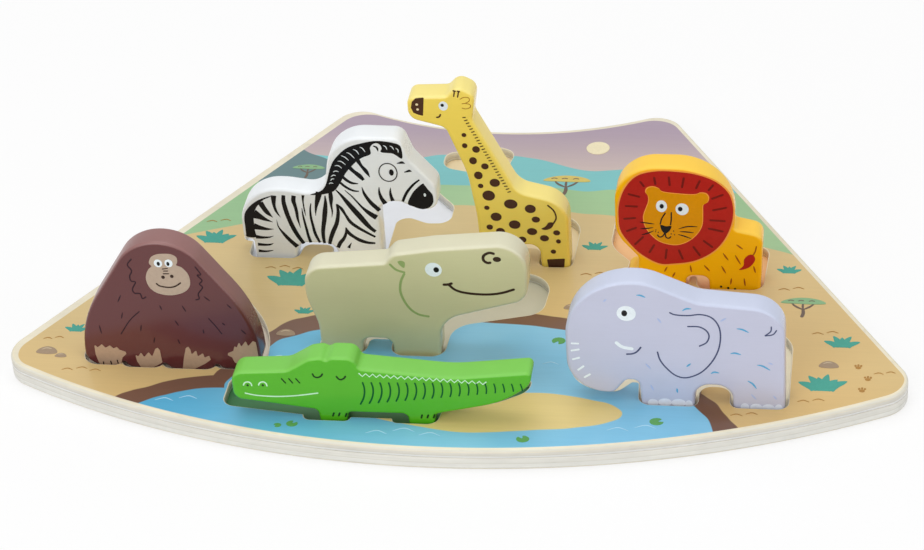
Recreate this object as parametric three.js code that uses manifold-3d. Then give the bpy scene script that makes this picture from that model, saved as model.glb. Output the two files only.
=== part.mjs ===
// Fan-shaped wooden animal puzzle: two glued boards and seven loose animals that stand in their own
// outlines. Millimetres, +Z up, the convex front edge toward -Y, origin under the middle of the board.
import * as THREE from 'three';
import { mergeVertices, toCreasedNormals } from 'three/addons/utils/BufferGeometryUtils.js';
import Module from 'manifold-3d';

// Board: a slice of a ring, its front edge the outer arc and its back edge the inner arc, which leaves
// the back rim between itself and the recess that reaches furthest back
const BOARD_CHORD = 400;
const BOARD_HALF_ANGLE = THREE.MathUtils.degToRad(30);
const BACK_RIM = 13.5;
const FRONT_CORNER_RADIUS = 15;
const BACK_CORNER_RADIUS = 13;
const BASE_THICKNESS = 6.4;
const TRAY_THICKNESS = 4.3;
const BOARD_EDGE_ROUND = 1.6;
const BOARD_ROUND_STEPS = 3;

// Animals: all cut from one thickness of wood, with softened edges
const ANIMAL_THICKNESS = 12;
const ANIMAL_EDGE_ROUND = 1.5;
const ANIMAL_ROUND_STEPS = 2;

// Fit of an animal in its recess
const RECESS_CLEARANCE = 1.2;
const STANDING_GAP = 0.3;
const CROCODILE_LEG_ROOM = 6;
const CROCODILE_BELLY_ROOM = 4.5;
const LION_LEG_ROOM = 4.4;
const ZEBRA_LEG_ROOM = 2;
const APE_NOTCH_DEPTH = 4;
const APE_HAND_LIFT = 1;

// Looks of the bare wood, the printed face and the painted animals
const WOOD_COLOUR = 0xe6dec3;
const WOOD_ROUGHNESS = 0.55;
const PRINT_COLOUR = 0xcdb27d;
const PRINT_ROUGHNESS = 0.4;
const PAINT_ROUGHNESS = 0.35;

// Largest distance between an arc and its chords, and the sharpest edge that is shaded smooth
const ARC_TOLERANCE = 0.05;
const CREASE_ANGLE = 0.6;

const FRONT_ARC_RADIUS = BOARD_CHORD / 2 / Math.sin(BOARD_HALF_ANGLE);
const BOARD_TOP = BASE_THICKNESS + TRAY_THICKNESS;
const STANDING_SETBACK = RECESS_CLEARANCE + STANDING_GAP;

// The animals are drawn in hundredths of the board's chord, so they and their recesses keep to the board
const DRAWING_UNIT = BOARD_CHORD / 100;
const FOOT = -TRAY_THICKNESS / DRAWING_UNIT;
const NOTCH = FOOT + APE_NOTCH_DEPTH / DRAWING_UNIT;
const HAND = FOOT + APE_HAND_LIFT / DRAWING_UNIT;

// Each animal: its colour, where its recess lies on the board (the x of its drawing's zero and the y of
// the recess wall at its feet, from the arcs' centre), the room that its recess leaves to the right of its
// legs and under its belly, how far its front face stands behind that wall, and its outline. The outline is
// a ring of corners [x, height, radius], counter-clockwise from the left foot, with heights above the
// board's top face.
const DRAWINGS = [
  {
    name: 'ape',
    colour: 0x64372f,
    wallAt: [-29.75, -87.75],
    legRoom: 0,
    bellyRoom: 0,
    setback: APE_NOTCH_DEPTH + STANDING_GAP,
    outline: [
      [-10.05, HAND, 1.75], [-6.4, HAND, 1], [-5.85, NOTCH, 0.625], [-5.3, FOOT, 1],
      [-1.9, FOOT, 1], [-1.325, NOTCH, 0.625], [-0.75, FOOT, 1], [3.95, FOOT, 1],
      [4.525, NOTCH, 0.625], [5.1, HAND, 1], [9.5, HAND, 1.75], [9.5, 5.475, 14.5],
      [-0.5, 19.65, 5.175], [-10.05, 4.925, 14.5],
    ],
  },
  {
    name: 'crocodile',
    colour: 0x5aaf3c,
    wallAt: [-7, -95.8],
    legRoom: CROCODILE_LEG_ROOM,
    bellyRoom: CROCODILE_BELLY_ROOM,
    setback: STANDING_SETBACK,
    outline: [
      [-6.7, FOOT, 0.625], [-3.9, FOOT, 0.625], [-3.725, 0.75, 0.625], [2.6, 0.8, 0.625],
      [2.75, FOOT, 0.625], [5.35, FOOT, 0.625], [5.6, 0.9, 0.625], [12.5, 2.625, 10],
      [15.85, 5.05, 2], [15.85, 6.775, 0.55], [7.5, 5.7, 15], [-2.1, 6.5, 0.625],
      [-2.7, 7.8, 1.1], [-4.9, 7.8, 0.9], [-5.5, 7.425, 0.4], [-6.1, 7.75, 0.9],
      [-7.35, 7.5, 1.5], [-9.75, 5.925, 2], [-15.8, 5.475, 1.375], [-15.8, 2.025, 1.125],
      [-6.9, 0.925, 0.625],
    ],
  },
  {
    name: 'elephant',
    colour: 0xc3c3d7,
    wallAt: [25, -91.125],
    legRoom: 0,
    bellyRoom: 0,
    setback: STANDING_SETBACK,
    outline: [
      [-3.8, FOOT, 1], [1.65, FOOT, 0.625], [1.75, 2.425, 1.625], [5.6, 2.425, 1.75],
      [5.7, FOOT, 0.625], [11.05, FOOT, 0.875], [11, 12.075, 3.5], [2.125, 12.8, 3.75],
      [-3.125, 15.15, 5.5], [-11.55, 15.1, 7], [-11.55, 1.025, 4.125], [-6.7, 1.025, 1],
      [-5.375, 2.75, 0.75], [-4.075, 2.75, 0.75],
    ],
  },
  {
    name: 'hippo',
    colour: 0xb9b487,
    wallAt: [-3.25, -84],
    legRoom: 0,
    bellyRoom: 0,
    setback: STANDING_SETBACK,
    outline: [
      [-10.95, FOOT, 1], [-6.55, FOOT, 0.75], [-6.3, 1.775, 1], [-3.15, 1.775, 1],
      [-2.95, FOOT, 0.75], [2.1, FOOT, 1], [2.3, 4.45, 2.5], [11.8, 7.35, 2],
      [12.25, 14.675, 3.125], [2, 13.6, 5], [-2.25, 12.825, 1.5], [-3.15, 11.7, 0.75],
      [-12, 10.8, 2.25], [-12.1, 6.925, 7.5], [-11, 3.425, 6.25],
    ],
  },
  {
    name: 'zebra',
    colour: 0xd7d5d2,
    wallAt: [-15.5, -66.3],
    legRoom: ZEBRA_LEG_ROOM,
    bellyRoom: 0,
    setback: STANDING_SETBACK,
    outline: [
      [-10.05, FOOT, 0.875], [-5.45, FOOT, 0.75], [-5.15, 1.8, 1.375], [-0.65, 1.8, 1.375],
      [-0.4, FOOT, 0.75], [4.8, FOOT, 0.875], [5.05, 7.675, 0.875], [7.125, 7.675, 1.5],
      [9.125, 6.7, 1.5], [11.35, 6.825, 1.25], [11.325, 9.925, 1.5], [8.65, 13.175, 2.5],
      [7.7, 15.825, 1.375], [0.1, 15.875, 4.375], [-1.4, 8.375, 1.25], [-6, 9, 7.5],
      [-11.075, 8.925, 4.5], [-11.1, 2.225, 0.55], [-10.15, 2.075, 0.5],
    ],
  },
  {
    name: 'giraffe',
    colour: 0xe4c346,
    wallAt: [3.75, -66.6],
    legRoom: 0,
    bellyRoom: 0,
    setback: STANDING_SETBACK,
    outline: [
      [-2.75, FOOT, 0.75], [0.4, FOOT, 0.75], [0.5, 2.575, 1.375], [3.825, 2.575, 1.25],
      [3.925, FOOT, 0.75], [7.1, FOOT, 0.75], [7.2, 8.175, 3.25], [1.65, 9.575, 1.125],
      [-2.8, 18.875, 1], [-2.325, 22, 0.875], [-4.3, 23.05, 0.75], [-5.5, 21.775, 0.625],
      [-9.85, 21.575, 0.875], [-9.85, 18.825, 0.75], [-5.85, 17.725, 1], [-3.8, 11.925, 10],
      [-3.05, 6.425, 10],
    ],
  },
  {
    name: 'lion',
    colour: 0xe1a00a,
    wallAt: [23.4, -69.85],
    legRoom: LION_LEG_ROOM,
    bellyRoom: 0,
    setback: STANDING_SETBACK,
    outline: [
      [-5.5, FOOT, 0.875], [-0.475, FOOT, 0.75], [-0.4, 1.275, 0.875], [2.1, 1.275, 0.875],
      [2.225, FOOT, 0.75], [7.75, FOOT, 1.125], [8.075, 6.85, 1.375], [4.9, 7.575, 0.625],
      [5.3, 15.4, 6.25], [-7.9, 15.4, 4.625], [-8, 6.5, 4], [-5.55, 3.575, 0.75],
    ],
  },
];

const millimetres = (drawn) => drawn * DRAWING_UNIT;
const ANIMALS = DRAWINGS.map((drawing) => ({
  ...drawing,
  wallAt: drawing.wallAt.map(millimetres),
  outline: drawing.outline.map((corner) => corner.map(millimetres)),
}));

const wasm = await Module();
wasm.setup();

// Points along an arc from angle start to angle end, both included
function arcPoints(centre, radius, start, end) {
  const stepAngle = 2 * Math.acos(1 - Math.min(ARC_TOLERANCE / radius, 1));
  const steps = Math.max(2, Math.ceil(Math.abs(end - start) / stepAngle));
  const points = [];
  for (let i = 0; i <= steps; i += 1) {
    const angle = start + ((end - start) * i) / steps;
    const spoke = new THREE.Vector2(Math.cos(angle), Math.sin(angle));
    points.push(spoke.multiplyScalar(radius).add(centre));
  }
  return points;
}

function withoutRepeats(points) {
  return points.filter((point, i) => {
    const next = points[(i + 1) % points.length];
    return point.distanceTo(next) > ARC_TOLERANCE;
  });
}

function polar(radius, angle) {
  return new THREE.Vector2(radius * Math.cos(angle), radius * Math.sin(angle));
}

// The ring slice with its four rounded corners, counter-clockwise, seen from above
function boardOutline() {
  const down = -Math.PI / 2;
  const left = down - BOARD_HALF_ANGLE;
  const right = down + BOARD_HALF_ANGLE;
  const frontSpoke = FRONT_ARC_RADIUS - FRONT_CORNER_RADIUS;
  const backSpoke = BACK_ARC_RADIUS + BACK_CORNER_RADIUS;
  const frontTurn = Math.asin(FRONT_CORNER_RADIUS / frontSpoke);
  const backTurn = Math.asin(BACK_CORNER_RADIUS / backSpoke);
  const frontLeft = left + frontTurn;
  const frontRight = right - frontTurn;
  const backLeft = left + backTurn;
  const backRight = right - backTurn;
  const centre = new THREE.Vector2();
  const quarter = Math.PI / 2;
  return withoutRepeats([
    ...arcPoints(centre, FRONT_ARC_RADIUS, frontLeft, frontRight),
    ...arcPoints(polar(frontSpoke, frontRight), FRONT_CORNER_RADIUS, frontRight, right + quarter),
    ...arcPoints(polar(backSpoke, backRight), BACK_CORNER_RADIUS, right + quarter, backRight + Math.PI),
    ...arcPoints(centre, BACK_ARC_RADIUS, backRight, backLeft),
    ...arcPoints(polar(backSpoke, backLeft), BACK_CORNER_RADIUS, backLeft + Math.PI, left + 3 * quarter),
    ...arcPoints(polar(frontSpoke, frontLeft), FRONT_CORNER_RADIUS, left - quarter, frontLeft),
  ]);
}

// Unit directions along the two edges that meet at a corner, and the turn between them
function cornerEdges(corners, i) {
  const count = corners.length;
  const [x, y] = corners[i];
  const [px, py] = corners[(i + count - 1) % count];
  const [nx, ny] = corners[(i + 1) % count];
  const before = new THREE.Vector2(x - px, y - py);
  const after = new THREE.Vector2(nx - x, ny - y);
  const lengthAfter = after.length();
  before.normalize();
  after.normalize();
  const turn = Math.atan2(before.cross(after), before.dot(after));
  return { before, after, lengthAfter, turn };
}

// A ring of corners as a closed curve: straight edges joined by arcs that touch both of them. An arc
// is limited by the edges that it lies between.
function roundedOutline(corners) {
  const edges = corners.map((corner, i) => cornerEdges(corners, i));
  const reach = corners.map(([, , radius], i) => radius * Math.tan(Math.abs(edges[i].turn) / 2));
  const limit = corners.map(() => 1);
  corners.forEach((corner, i) => {
    const next = (i + 1) % corners.length;
    const share = edges[i].lengthAfter / (reach[i] + reach[next]);
    limit[i] = Math.min(limit[i], share);
    limit[next] = Math.min(limit[next], share);
  });
  const points = corners.flatMap(([x, y, radius], i) => {
    const { before, turn } = edges[i];
    const fitted = radius * limit[i];
    const side = Math.sign(turn);
    const start = new THREE.Vector2(x, y).addScaledVector(before, -reach[i] * limit[i]);
    const inward = new THREE.Vector2(-before.y, before.x).multiplyScalar(side);
    const centre = start.clone().addScaledVector(inward, fitted);
    const from = Math.atan2(-inward.y, -inward.x);
    return arcPoints(centre, fitted, from, from + turn);
  });
  return withoutRepeats(points);
}

// The corners of a recess: every edge of the animal's outline moved out by the clearance, the right side
// of each leg by the leg room as well, and each edge that runs along the belly to a leg by the belly room
function recessCorners({ outline: corners, legRoom, bellyRoom }) {
  const onFoot = (i) => corners[(i + corners.length) % corners.length][1] === millimetres(FOOT);
  const legSide = (i) => onFoot(i) && !onFoot(i + 1);
  const belly = (i) => !onFoot(i) && !onFoot(i + 1) && onFoot(i + 2);
  const moved = (i) => RECESS_CLEARANCE + (legSide(i) ? legRoom : 0) + (belly(i) ? bellyRoom : 0);
  return corners.map(([x, y, radius], i) => {
    const { before, after, turn } = cornerEdges(corners, i);
    const firstNormal = new THREE.Vector2(before.y, -before.x);
    const secondNormal = new THREE.Vector2(after.y, -after.x);
    const first = moved(i - 1);
    const second = moved(i);
    const span = firstNormal.cross(secondNormal);
    const dx = (first * secondNormal.y - second * firstNormal.y) / span;
    const dy = (second * firstNormal.x - first * secondNormal.x) / span;
    return [x + dx, y + dy, radius + Math.sign(turn) * RECESS_CLEARANCE];
  });
}

// Where the zero of an animal's drawing lies on the board when the animal lies in its recess
function recessPlace({ wallAt }) {
  const [x, y] = wallAt;
  return new THREE.Vector2(x, y + RECESS_CLEARANCE + TRAY_THICKNESS);
}

// The least distance from the arcs' centre to a corner of a recess
function recessReach(animal) {
  const place = recessPlace(animal);
  return Math.min(...recessCorners(animal).map(([x, y]) => new THREE.Vector2(x, y).add(place).length()));
}

const BACK_ARC_RADIUS = Math.min(...ANIMALS.map(recessReach)) - BACK_RIM;

// A plate of an outline, from z = 0 up to its thickness, with both rims rounded over
function roundedPlate(points, thickness, edgeRound, bevelSegments) {
  const plate = new THREE.ExtrudeGeometry(new THREE.Shape(points), {
    depth: thickness - 2 * edgeRound,
    bevelThickness: edgeRound,
    bevelSize: edgeRound,
    bevelOffset: -edgeRound,
    bevelSegments,
  });
  return plate.translate(0, 0, edgeRound);
}

function solidOf(geometry) {
  geometry.deleteAttribute('normal');
  geometry.deleteAttribute('uv');
  const welded = mergeVertices(geometry);
  const vertProperties = welded.getAttribute('position').array;
  const triVerts = Uint32Array.from(welded.getIndex().array);
  return new wasm.Manifold(new wasm.Mesh({ numProp: 3, vertProperties, triVerts }));
}

function geometryOf(solid) {
  const { vertProperties, triVerts } = solid.getMesh();
  const geometry = new THREE.BufferGeometry();
  geometry.setAttribute('position', new THREE.BufferAttribute(vertProperties, 3));
  geometry.setIndex(new THREE.BufferAttribute(triVerts, 1));
  return geometry;
}

// What lies of a solid in the slice of space one board high that starts at z = bottom
function boardLayer(board, bottom) {
  const width = 3 * FRONT_ARC_RADIUS;
  const slice = new THREE.BoxGeometry(width, width, BOARD_TOP);
  slice.translate(0, 0, bottom + BOARD_TOP / 2);
  return board.intersect(solidOf(slice));
}

// The hole that an animal lies in: its outline with clearance, laid on its back with its feet in front
function recessSolid(animal) {
  const { x, y } = recessPlace(animal);
  const points = roundedOutline(recessCorners(animal));
  const hole = new THREE.ExtrudeGeometry(new THREE.Shape(points), {
    depth: 3 * TRAY_THICKNESS,
    bevelEnabled: false,
  });
  hole.translate(x, y, BASE_THICKNESS - TRAY_THICKNESS);
  return solidOf(hole);
}

// A plate drawn in x and y stood upright on the XZ plane, with its thickness toward -Y
const UPRIGHT = new THREE.Matrix4().makeBasis(
  new THREE.Vector3(1, 0, 0),
  new THREE.Vector3(0, 0, 1),
  new THREE.Vector3(0, -1, 0),
);

function namedMesh(name, geometry, colour, roughness) {
  const material = new THREE.MeshStandardMaterial({ color: colour, roughness, metalness: 0 });
  const mesh = new THREE.Mesh(toCreasedNormals(geometry, CREASE_ANGLE), material);
  mesh.name = name;
  return mesh;
}

// An animal stands with its feet on the base board, slid to the right by its leg room
function animalMesh({ name, colour, wallAt, legRoom, setback, outline }) {
  const points = roundedOutline(outline);
  const plate = roundedPlate(points, ANIMAL_THICKNESS, ANIMAL_EDGE_ROUND, ANIMAL_ROUND_STEPS);
  const mesh = namedMesh(name, plate.applyMatrix4(UPRIGHT), colour, PAINT_ROUGHNESS);
  const [x, y] = wallAt;
  mesh.position.set(x + legRoom, y + setback + ANIMAL_THICKNESS, BOARD_TOP);
  return mesh;
}

const slab = solidOf(roundedPlate(boardOutline(), BOARD_TOP, BOARD_EDGE_ROUND, BOARD_ROUND_STEPS));
const base = boardLayer(slab, BASE_THICKNESS - BOARD_TOP);
const recesses = ANIMALS.map(recessSolid);
const tray = recesses.reduce((board, recess) => board.subtract(recess), boardLayer(slab, BASE_THICKNESS));

const puzzle = new THREE.Group();
puzzle.add(namedMesh('base_board', geometryOf(base), WOOD_COLOUR, WOOD_ROUGHNESS));
puzzle.add(namedMesh('tray_board', geometryOf(tray), PRINT_COLOUR, PRINT_ROUGHNESS));
puzzle.add(...ANIMALS.map(animalMesh));

const middle = new THREE.Box3().setFromObject(puzzle).getCenter(new THREE.Vector3());
puzzle.position.set(-middle.x, -middle.y, 0);

const part = new THREE.Group();
part.add(puzzle);

export default part;
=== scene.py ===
"""Looks of a fan-shaped wooden animal puzzle: a printed tray of two boards and seven painted animals."""

import logging
import math
from bisect import bisect_left
from dataclasses import dataclass
from enum import Enum
from functools import cached_property
from itertools import accumulate
from typing import Union

import bmesh
import bpy
from mathutils import Matrix, Vector


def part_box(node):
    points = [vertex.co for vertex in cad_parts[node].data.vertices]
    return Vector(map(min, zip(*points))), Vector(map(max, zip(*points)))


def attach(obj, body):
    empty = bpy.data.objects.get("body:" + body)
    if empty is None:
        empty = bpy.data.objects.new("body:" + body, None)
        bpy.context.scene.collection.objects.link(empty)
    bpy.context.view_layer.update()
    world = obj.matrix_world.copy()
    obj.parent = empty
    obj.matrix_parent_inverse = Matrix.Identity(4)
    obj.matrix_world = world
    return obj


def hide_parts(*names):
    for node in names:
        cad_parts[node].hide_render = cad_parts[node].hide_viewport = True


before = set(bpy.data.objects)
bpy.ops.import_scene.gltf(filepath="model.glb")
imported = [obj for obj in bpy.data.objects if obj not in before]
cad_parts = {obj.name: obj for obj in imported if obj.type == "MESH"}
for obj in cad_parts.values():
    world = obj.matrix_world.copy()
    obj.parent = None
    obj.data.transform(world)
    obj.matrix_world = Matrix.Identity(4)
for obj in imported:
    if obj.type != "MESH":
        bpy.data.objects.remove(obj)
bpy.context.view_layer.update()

log = logging.getLogger("animal_puzzle")

MM = 0.001
# How far an animal's surface faces up; the paint turns this into painted light from above.
LOOKS_UP = "looks_up"
SQUARE_ON = 0.9999
SAME_LEVEL = 1e-6
EDGE_STEPS = 6
WHITE = (1, 1, 1, 1)

Point = tuple[float, float]
Path = tuple[Point, ...]
Corner = tuple[float, float, float]
Colour = tuple[float, float, float, float]
Mesh = bmesh.types.BMesh
Edges = list[bmesh.types.BMEdge]
Faces = list[bmesh.types.BMFace]
Material = bpy.types.Material


def linear(code: str) -> Colour:
    """Turns a colour written as six hexadecimal digits into linear light.

    Args:
        code: red, green and blue as the eye sees them, two digits each.

    Returns:
        The colour that a shader takes, with full alpha.
    """
    shares = [int(code[i : i + 2], 16) / 255 for i in (0, 2, 4)]
    light = [c / 12.92 if c <= 0.04045 else ((c + 0.055) / 1.055) ** 2.4 for c in shares]
    return (light[0], light[1], light[2], 1.0)


class Value:
    """A shader socket that takes part in Python arithmetic by adding Math nodes."""

    def __init__(self, graph: "Graph", socket: bpy.types.NodeSocket | None) -> None:
        """Keeps the socket and the graph that new nodes go into."""
        self.graph = graph
        self.socket = socket

    def _math(self, operation: str, first: "Number", second: "Number" = 0.0) -> "Value":
        """Adds one Math node and gives its result."""
        return self.graph.node("ShaderNodeMath", {"operation": operation}, {0: first, 1: second})

    def __add__(self, other: "Number") -> "Value":
        """Sum of two values."""
        return self._math("ADD", self, other)

    def __sub__(self, other: "Number") -> "Value":
        """Difference of two values."""
        return self._math("SUBTRACT", self, other)

    def __rsub__(self, other: "Number") -> "Value":
        """Difference of two values, the other one first."""
        return self._math("SUBTRACT", other, self)

    def __mul__(self, other: "Number") -> "Value":
        """Product of two values."""
        return self._math("MULTIPLY", self, other)

    def __truediv__(self, other: "Number") -> "Value":
        """Quotient of two values."""
        return self._math("DIVIDE", self, other)

    def least(self, other: "Number") -> "Value":
        """The smaller of two values."""
        return self._math("MINIMUM", self, other)

    def most(self, other: "Number") -> "Value":
        """The larger of two values."""
        return self._math("MAXIMUM", self, other)

    def root(self) -> "Value":
        """Square root of a value."""
        return self._math("SQRT", self)

    def absolute(self) -> "Value":
        """A value without its sign."""
        return self._math("ABSOLUTE", self)

    def ramp(self, start: float, end: float, low: float = 0.0, high: float = 1.0) -> "Value":
        """Eases from low at start to high at end and stays there.

        Args:
            start: where the change begins.
            end: where it is complete.
            low: result up to start.
            high: result from end on.

        Returns:
            The eased value.
        """
        return self.graph.node(
            "ShaderNodeMapRange",
            {"interpolation_type": "SMOOTHSTEP", "clamp": True},
            {0: self, 1: start, 2: end, 3: low, 4: high},
        )

    def above(self, edge: "Number", soft: float) -> "Value":
        """A mask that is 1 where this value is above an edge, with a soft border."""
        return (self - edge).ramp(-soft, soft)


Number = Union[Value, float]
Tint = Union[Value, Colour]


class Graph:
    """The node tree of one material, with one method that adds any node."""

    def __init__(self, name: str, world: bpy.types.World | None = None) -> None:
        """Starts an empty tree.

        Args:
            name: the material's name.
            world: the world that the tree belongs to, where it isn't a material.
        """
        self.material = world or bpy.data.materials.new(name)
        self.material.use_nodes = True
        self.tree = self.material.node_tree
        self.tree.nodes.clear()

    def node(
        self, kind: str, settings: dict | None = None, sockets: dict | None = None, output: int | str = 0
    ) -> Value:
        """Adds a node.

        Args:
            kind: the node's type.
            settings: its own properties, set first.
            sockets: numbers, colours or values for its inputs, by name or place.
            output: the output to hand back.

        Returns:
            The chosen output.
        """
        made = self.tree.nodes.new(kind)
        for name, value in (settings or {}).items():
            if name == "stops":
                self.set_stops(made.color_ramp, value)
            else:
                setattr(made, name, value)
        for key, value in (sockets or {}).items():
            if isinstance(value, Value):
                self.tree.links.new(value.socket, made.inputs[key])
            else:
                made.inputs[key].default_value = value
        return Value(self, made.outputs[output] if made.outputs else None)

    @staticmethod
    def set_stops(ramp: bpy.types.ColorRamp, stops: list[tuple[float, Colour]]) -> None:
        """Gives a colour ramp its stops.

        Args:
            ramp: the ramp, which starts with two stops.
            stops: place and colour of each stop, from 0 to 1.
        """
        while len(ramp.elements) < len(stops):
            ramp.elements.new(1.0)
        for element, (position, colour) in zip(ramp.elements, stops):
            element.position = position
            element.color = colour

    def place(self) -> Value:
        """The point of the surface in the shared frame, in metres."""
        return self.node("ShaderNodeTexCoord", output="Object")

    def axes(self, point: Value) -> tuple[Value, Value, Value]:
        """Splits a point into its three numbers."""
        split = self.node("ShaderNodeSeparateXYZ", sockets={0: point}).socket.node
        return tuple(Value(self, split.outputs[i]) for i in range(3))

    def join(self, x: Number, y: Number, z: Number) -> Value:
        """Makes a point of three numbers."""
        return self.node("ShaderNodeCombineXYZ", sockets={0: x, 1: y, 2: z})

    def stretch(self, point: Value, scale: tuple[float, float, float]) -> Value:
        """Scales a point by a different number on each axis."""
        return self.node("ShaderNodeMapping", sockets={"Vector": point, "Scale": scale})

    def noise(self, point: Value, scale: float, detail: float = 2.0, rough: float = 0.5) -> Value:
        """Soft random variation about one half.

        Args:
            point: where it is read.
            scale: how many patches lie in one unit of the point.
            detail: how many finer octaves are added.
            rough: how strong the finer octaves are.

        Returns:
            The variation.
        """
        sockets = {"Vector": point, "Scale": scale, "Detail": detail, "Roughness": rough}
        return self.node("ShaderNodeTexNoise", {"noise_dimensions": "3D"}, sockets)

    def mix(self, share: Number, first: Tint, second: Tint) -> Value:
        """Mixes two colours.

        Args:
            share: how much of the second colour shows.
            first: the colour at 0.
            second: the colour at 1.

        Returns:
            The mixed colour.
        """
        return self.node("ShaderNodeMix", {"data_type": "RGBA"}, {0: share, 6: first, 7: second}, 2)

    def shade(self, colour: Tint, amount: Number) -> Value:
        """Makes a colour lighter or darker.

        Args:
            colour: the colour.
            amount: the factor, near 1.

        Returns:
            The shaded colour.
        """
        grey = self.join(amount, amount, amount)
        return self.node(
            "ShaderNodeMix", {"data_type": "RGBA", "blend_type": "MULTIPLY"}, {0: 1.0, 6: colour, 7: grey}, 2
        )

    def finish(
        self,
        colour: Tint,
        roughness: Number,
        height: Value,
        depth: float,
        coat: Number,
        coat_roughness: float,
        specular: float = 0.45,
    ) -> Material:
        """Closes the tree with one lacquered surface.

        Args:
            colour: the base colour.
            roughness: the roughness under the lacquer.
            height: relief of the surface, about one half.
            depth: how deep the relief is, in metres.
            coat: weight of the lacquer.
            coat_roughness: how dull the lacquer is.
            specular: how much light the surface itself mirrors.

        Returns:
            The finished material.
        """
        relief = self.node("ShaderNodeBump", sockets={"Strength": 1.0, "Distance": depth, "Height": height})
        sockets = {
            "Base Color": colour,
            "Roughness": roughness,
            "Specular IOR Level": specular,
            "Coat Weight": coat,
            "Coat Roughness": coat_roughness,
            "Normal": relief,
        }
        surface = self.node("ShaderNodeBsdfPrincipled", sockets=sockets)
        self.node("ShaderNodeOutputMaterial", sockets={"Surface": surface})
        return self.material


class Ink(Enum):
    """Printing inks of the animals and the board, by their colours."""

    BLACK = "1d1b1c"
    EYE_WHITE = "e6eef2"
    UMBER = "3b2a22"
    TAN = "b8a390"
    PAW = "b5987f"
    PLUM = "341a22"
    PALE_GREEN = "c6ecc8"
    DARK_GREEN = "0a5c22"
    PINE = "16380f"
    SLATE = "4a5070"
    SKY_BLUE = "5ba5cd"
    LILAC = "a8b8dc"
    NAIL = "dde2ef"
    OLIVE = "93a66a"
    COCOA = "4f3323"
    AMBER = "a8742a"
    CREAM = "efdcae"
    APRICOT = "f7a045"
    MANE_RED = "b5231a"
    OCHRE = "dd9200"
    WINE = "781b14"
    RUST = "a04a10"
    TEAL = "4ea393"
    SAGE = "8db689"
    STRAW = "d8c46e"
    BARK = "75665c"
    ROCK = "a48f77"
    ROCK_LIGHT = "c8b699"
    PAD = "63a45c"
    FOAM = "b4dcf0"
    DUST = "b08448"
    SUN = "f1e6c2"


class Ends(Enum):
    """How a brush stroke begins and ends."""

    ROUND = "round"
    POINTED = "pointed"
    LEAF = "leaf"
    MITRED = "mitred"


class Turn(Enum):
    """How a patch of ink turns at its corners."""

    FLOWING = "flowing"
    CRISP = "crisp"


@dataclass(frozen=True)
class Stroke:
    """A brush stroke along a path."""

    ink: Ink
    layer: int
    width: float
    path: Path
    ends: Ends = Ends.ROUND

    def width_at(self, s: float, total: float) -> float:
        """The width at a place along the stroke.

        Args:
            s: the way from its start.
            total: its whole length.

        Returns:
            The width there.
        """
        t = s / total
        if self.ends is Ends.POINTED:
            return self.width * math.sin(math.pi * (t * 0.94 + 0.03)) ** 0.6
        if self.ends is Ends.LEAF:
            return self.width * min(1.0, 0.5 + 1.6 * t) * max(1.0 - t**3, 0.0) ** 0.8
        if self.ends is Ends.ROUND:
            half = self.width / 2
            inset = half - min(s, total - s, half)
            return 2 * math.sqrt(max(half * half - inset * inset, 0.0))
        return self.width


@dataclass(frozen=True)
class Band:
    """A stripe whose path gives x, y and the width there."""

    ink: Ink
    layer: int
    path: tuple[Corner, ...]


@dataclass(frozen=True)
class Patch:
    """A filled area with a closed border."""

    ink: Ink
    layer: int
    border: Path
    turn: Turn = Turn.FLOWING


@dataclass(frozen=True)
class Dot:
    """A filled ellipse, by its centre and its half axes."""

    ink: Ink
    layer: int
    centre: Point
    across: float
    up: float


Shape = Union[Stroke, Band, Patch, Dot]
Drawing = tuple[Shape, ...]


def strokes(ink: Ink, layer: int, width: float, *paths: Path, ends: Ends = Ends.ROUND) -> list[Stroke]:
    """Strokes of one brush, each along a path of its own."""
    return [Stroke(ink, layer, width, path, ends) for path in paths]


def bands(ink: Ink, layer: int, *paths: tuple[Corner, ...]) -> list[Band]:
    """Stripes of one ink, each along a path of its own."""
    return [Band(ink, layer, path) for path in paths]


def dots(ink: Ink, layer: int, *ellipses: tuple[float, float, float, float]) -> list[Dot]:
    """Ellipses of one ink, each given by its centre and its half axes."""
    return [Dot(ink, layer, (x, y), across, up) for x, y, across, up in ellipses]


def between(first: Point, last: Point, share: float) -> Point:
    """A point on the way from one point to another."""
    return first[0] + (last[0] - first[0]) * share, first[1] + (last[1] - first[1]) * share


def loop(centre: Point, across: float, up: float, count: int = 12) -> Path:
    """Points round an ellipse, back to the first one.

    Args:
        centre: its middle.
        across: half its width.
        up: half its height.
        count: how many points there are.

    Returns:
        The closed path.
    """
    angles = [2 * math.pi * i / count for i in range(count + 1)]
    return tuple((centre[0] + across * math.cos(a), centre[1] + up * math.sin(a)) for a in angles)


def shrunk(border: Path, centre: Point, share: float) -> Path:
    """A border drawn closer to a centre, to a share of its size."""
    return tuple(between(centre, point, share) for point in border)


def crocodile_crest(teeth: int = 18) -> Stroke:
    """Draws the zigzag along the crocodile's back.

    Args:
        teeth: how often it falls and rises.

    Returns:
        The stroke.
    """
    path: list[Point] = []
    for i in range(teeth + 1):
        x, y = between((-8.4, 24), (44.9, 21.9), i / teeth)
        path += [(x, y), (x + 1.4, y - 1.6)]
    return Stroke(Ink.PALE_GREEN, 1, 0.55, tuple(path[:-1]), Ends.MITRED)


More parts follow.
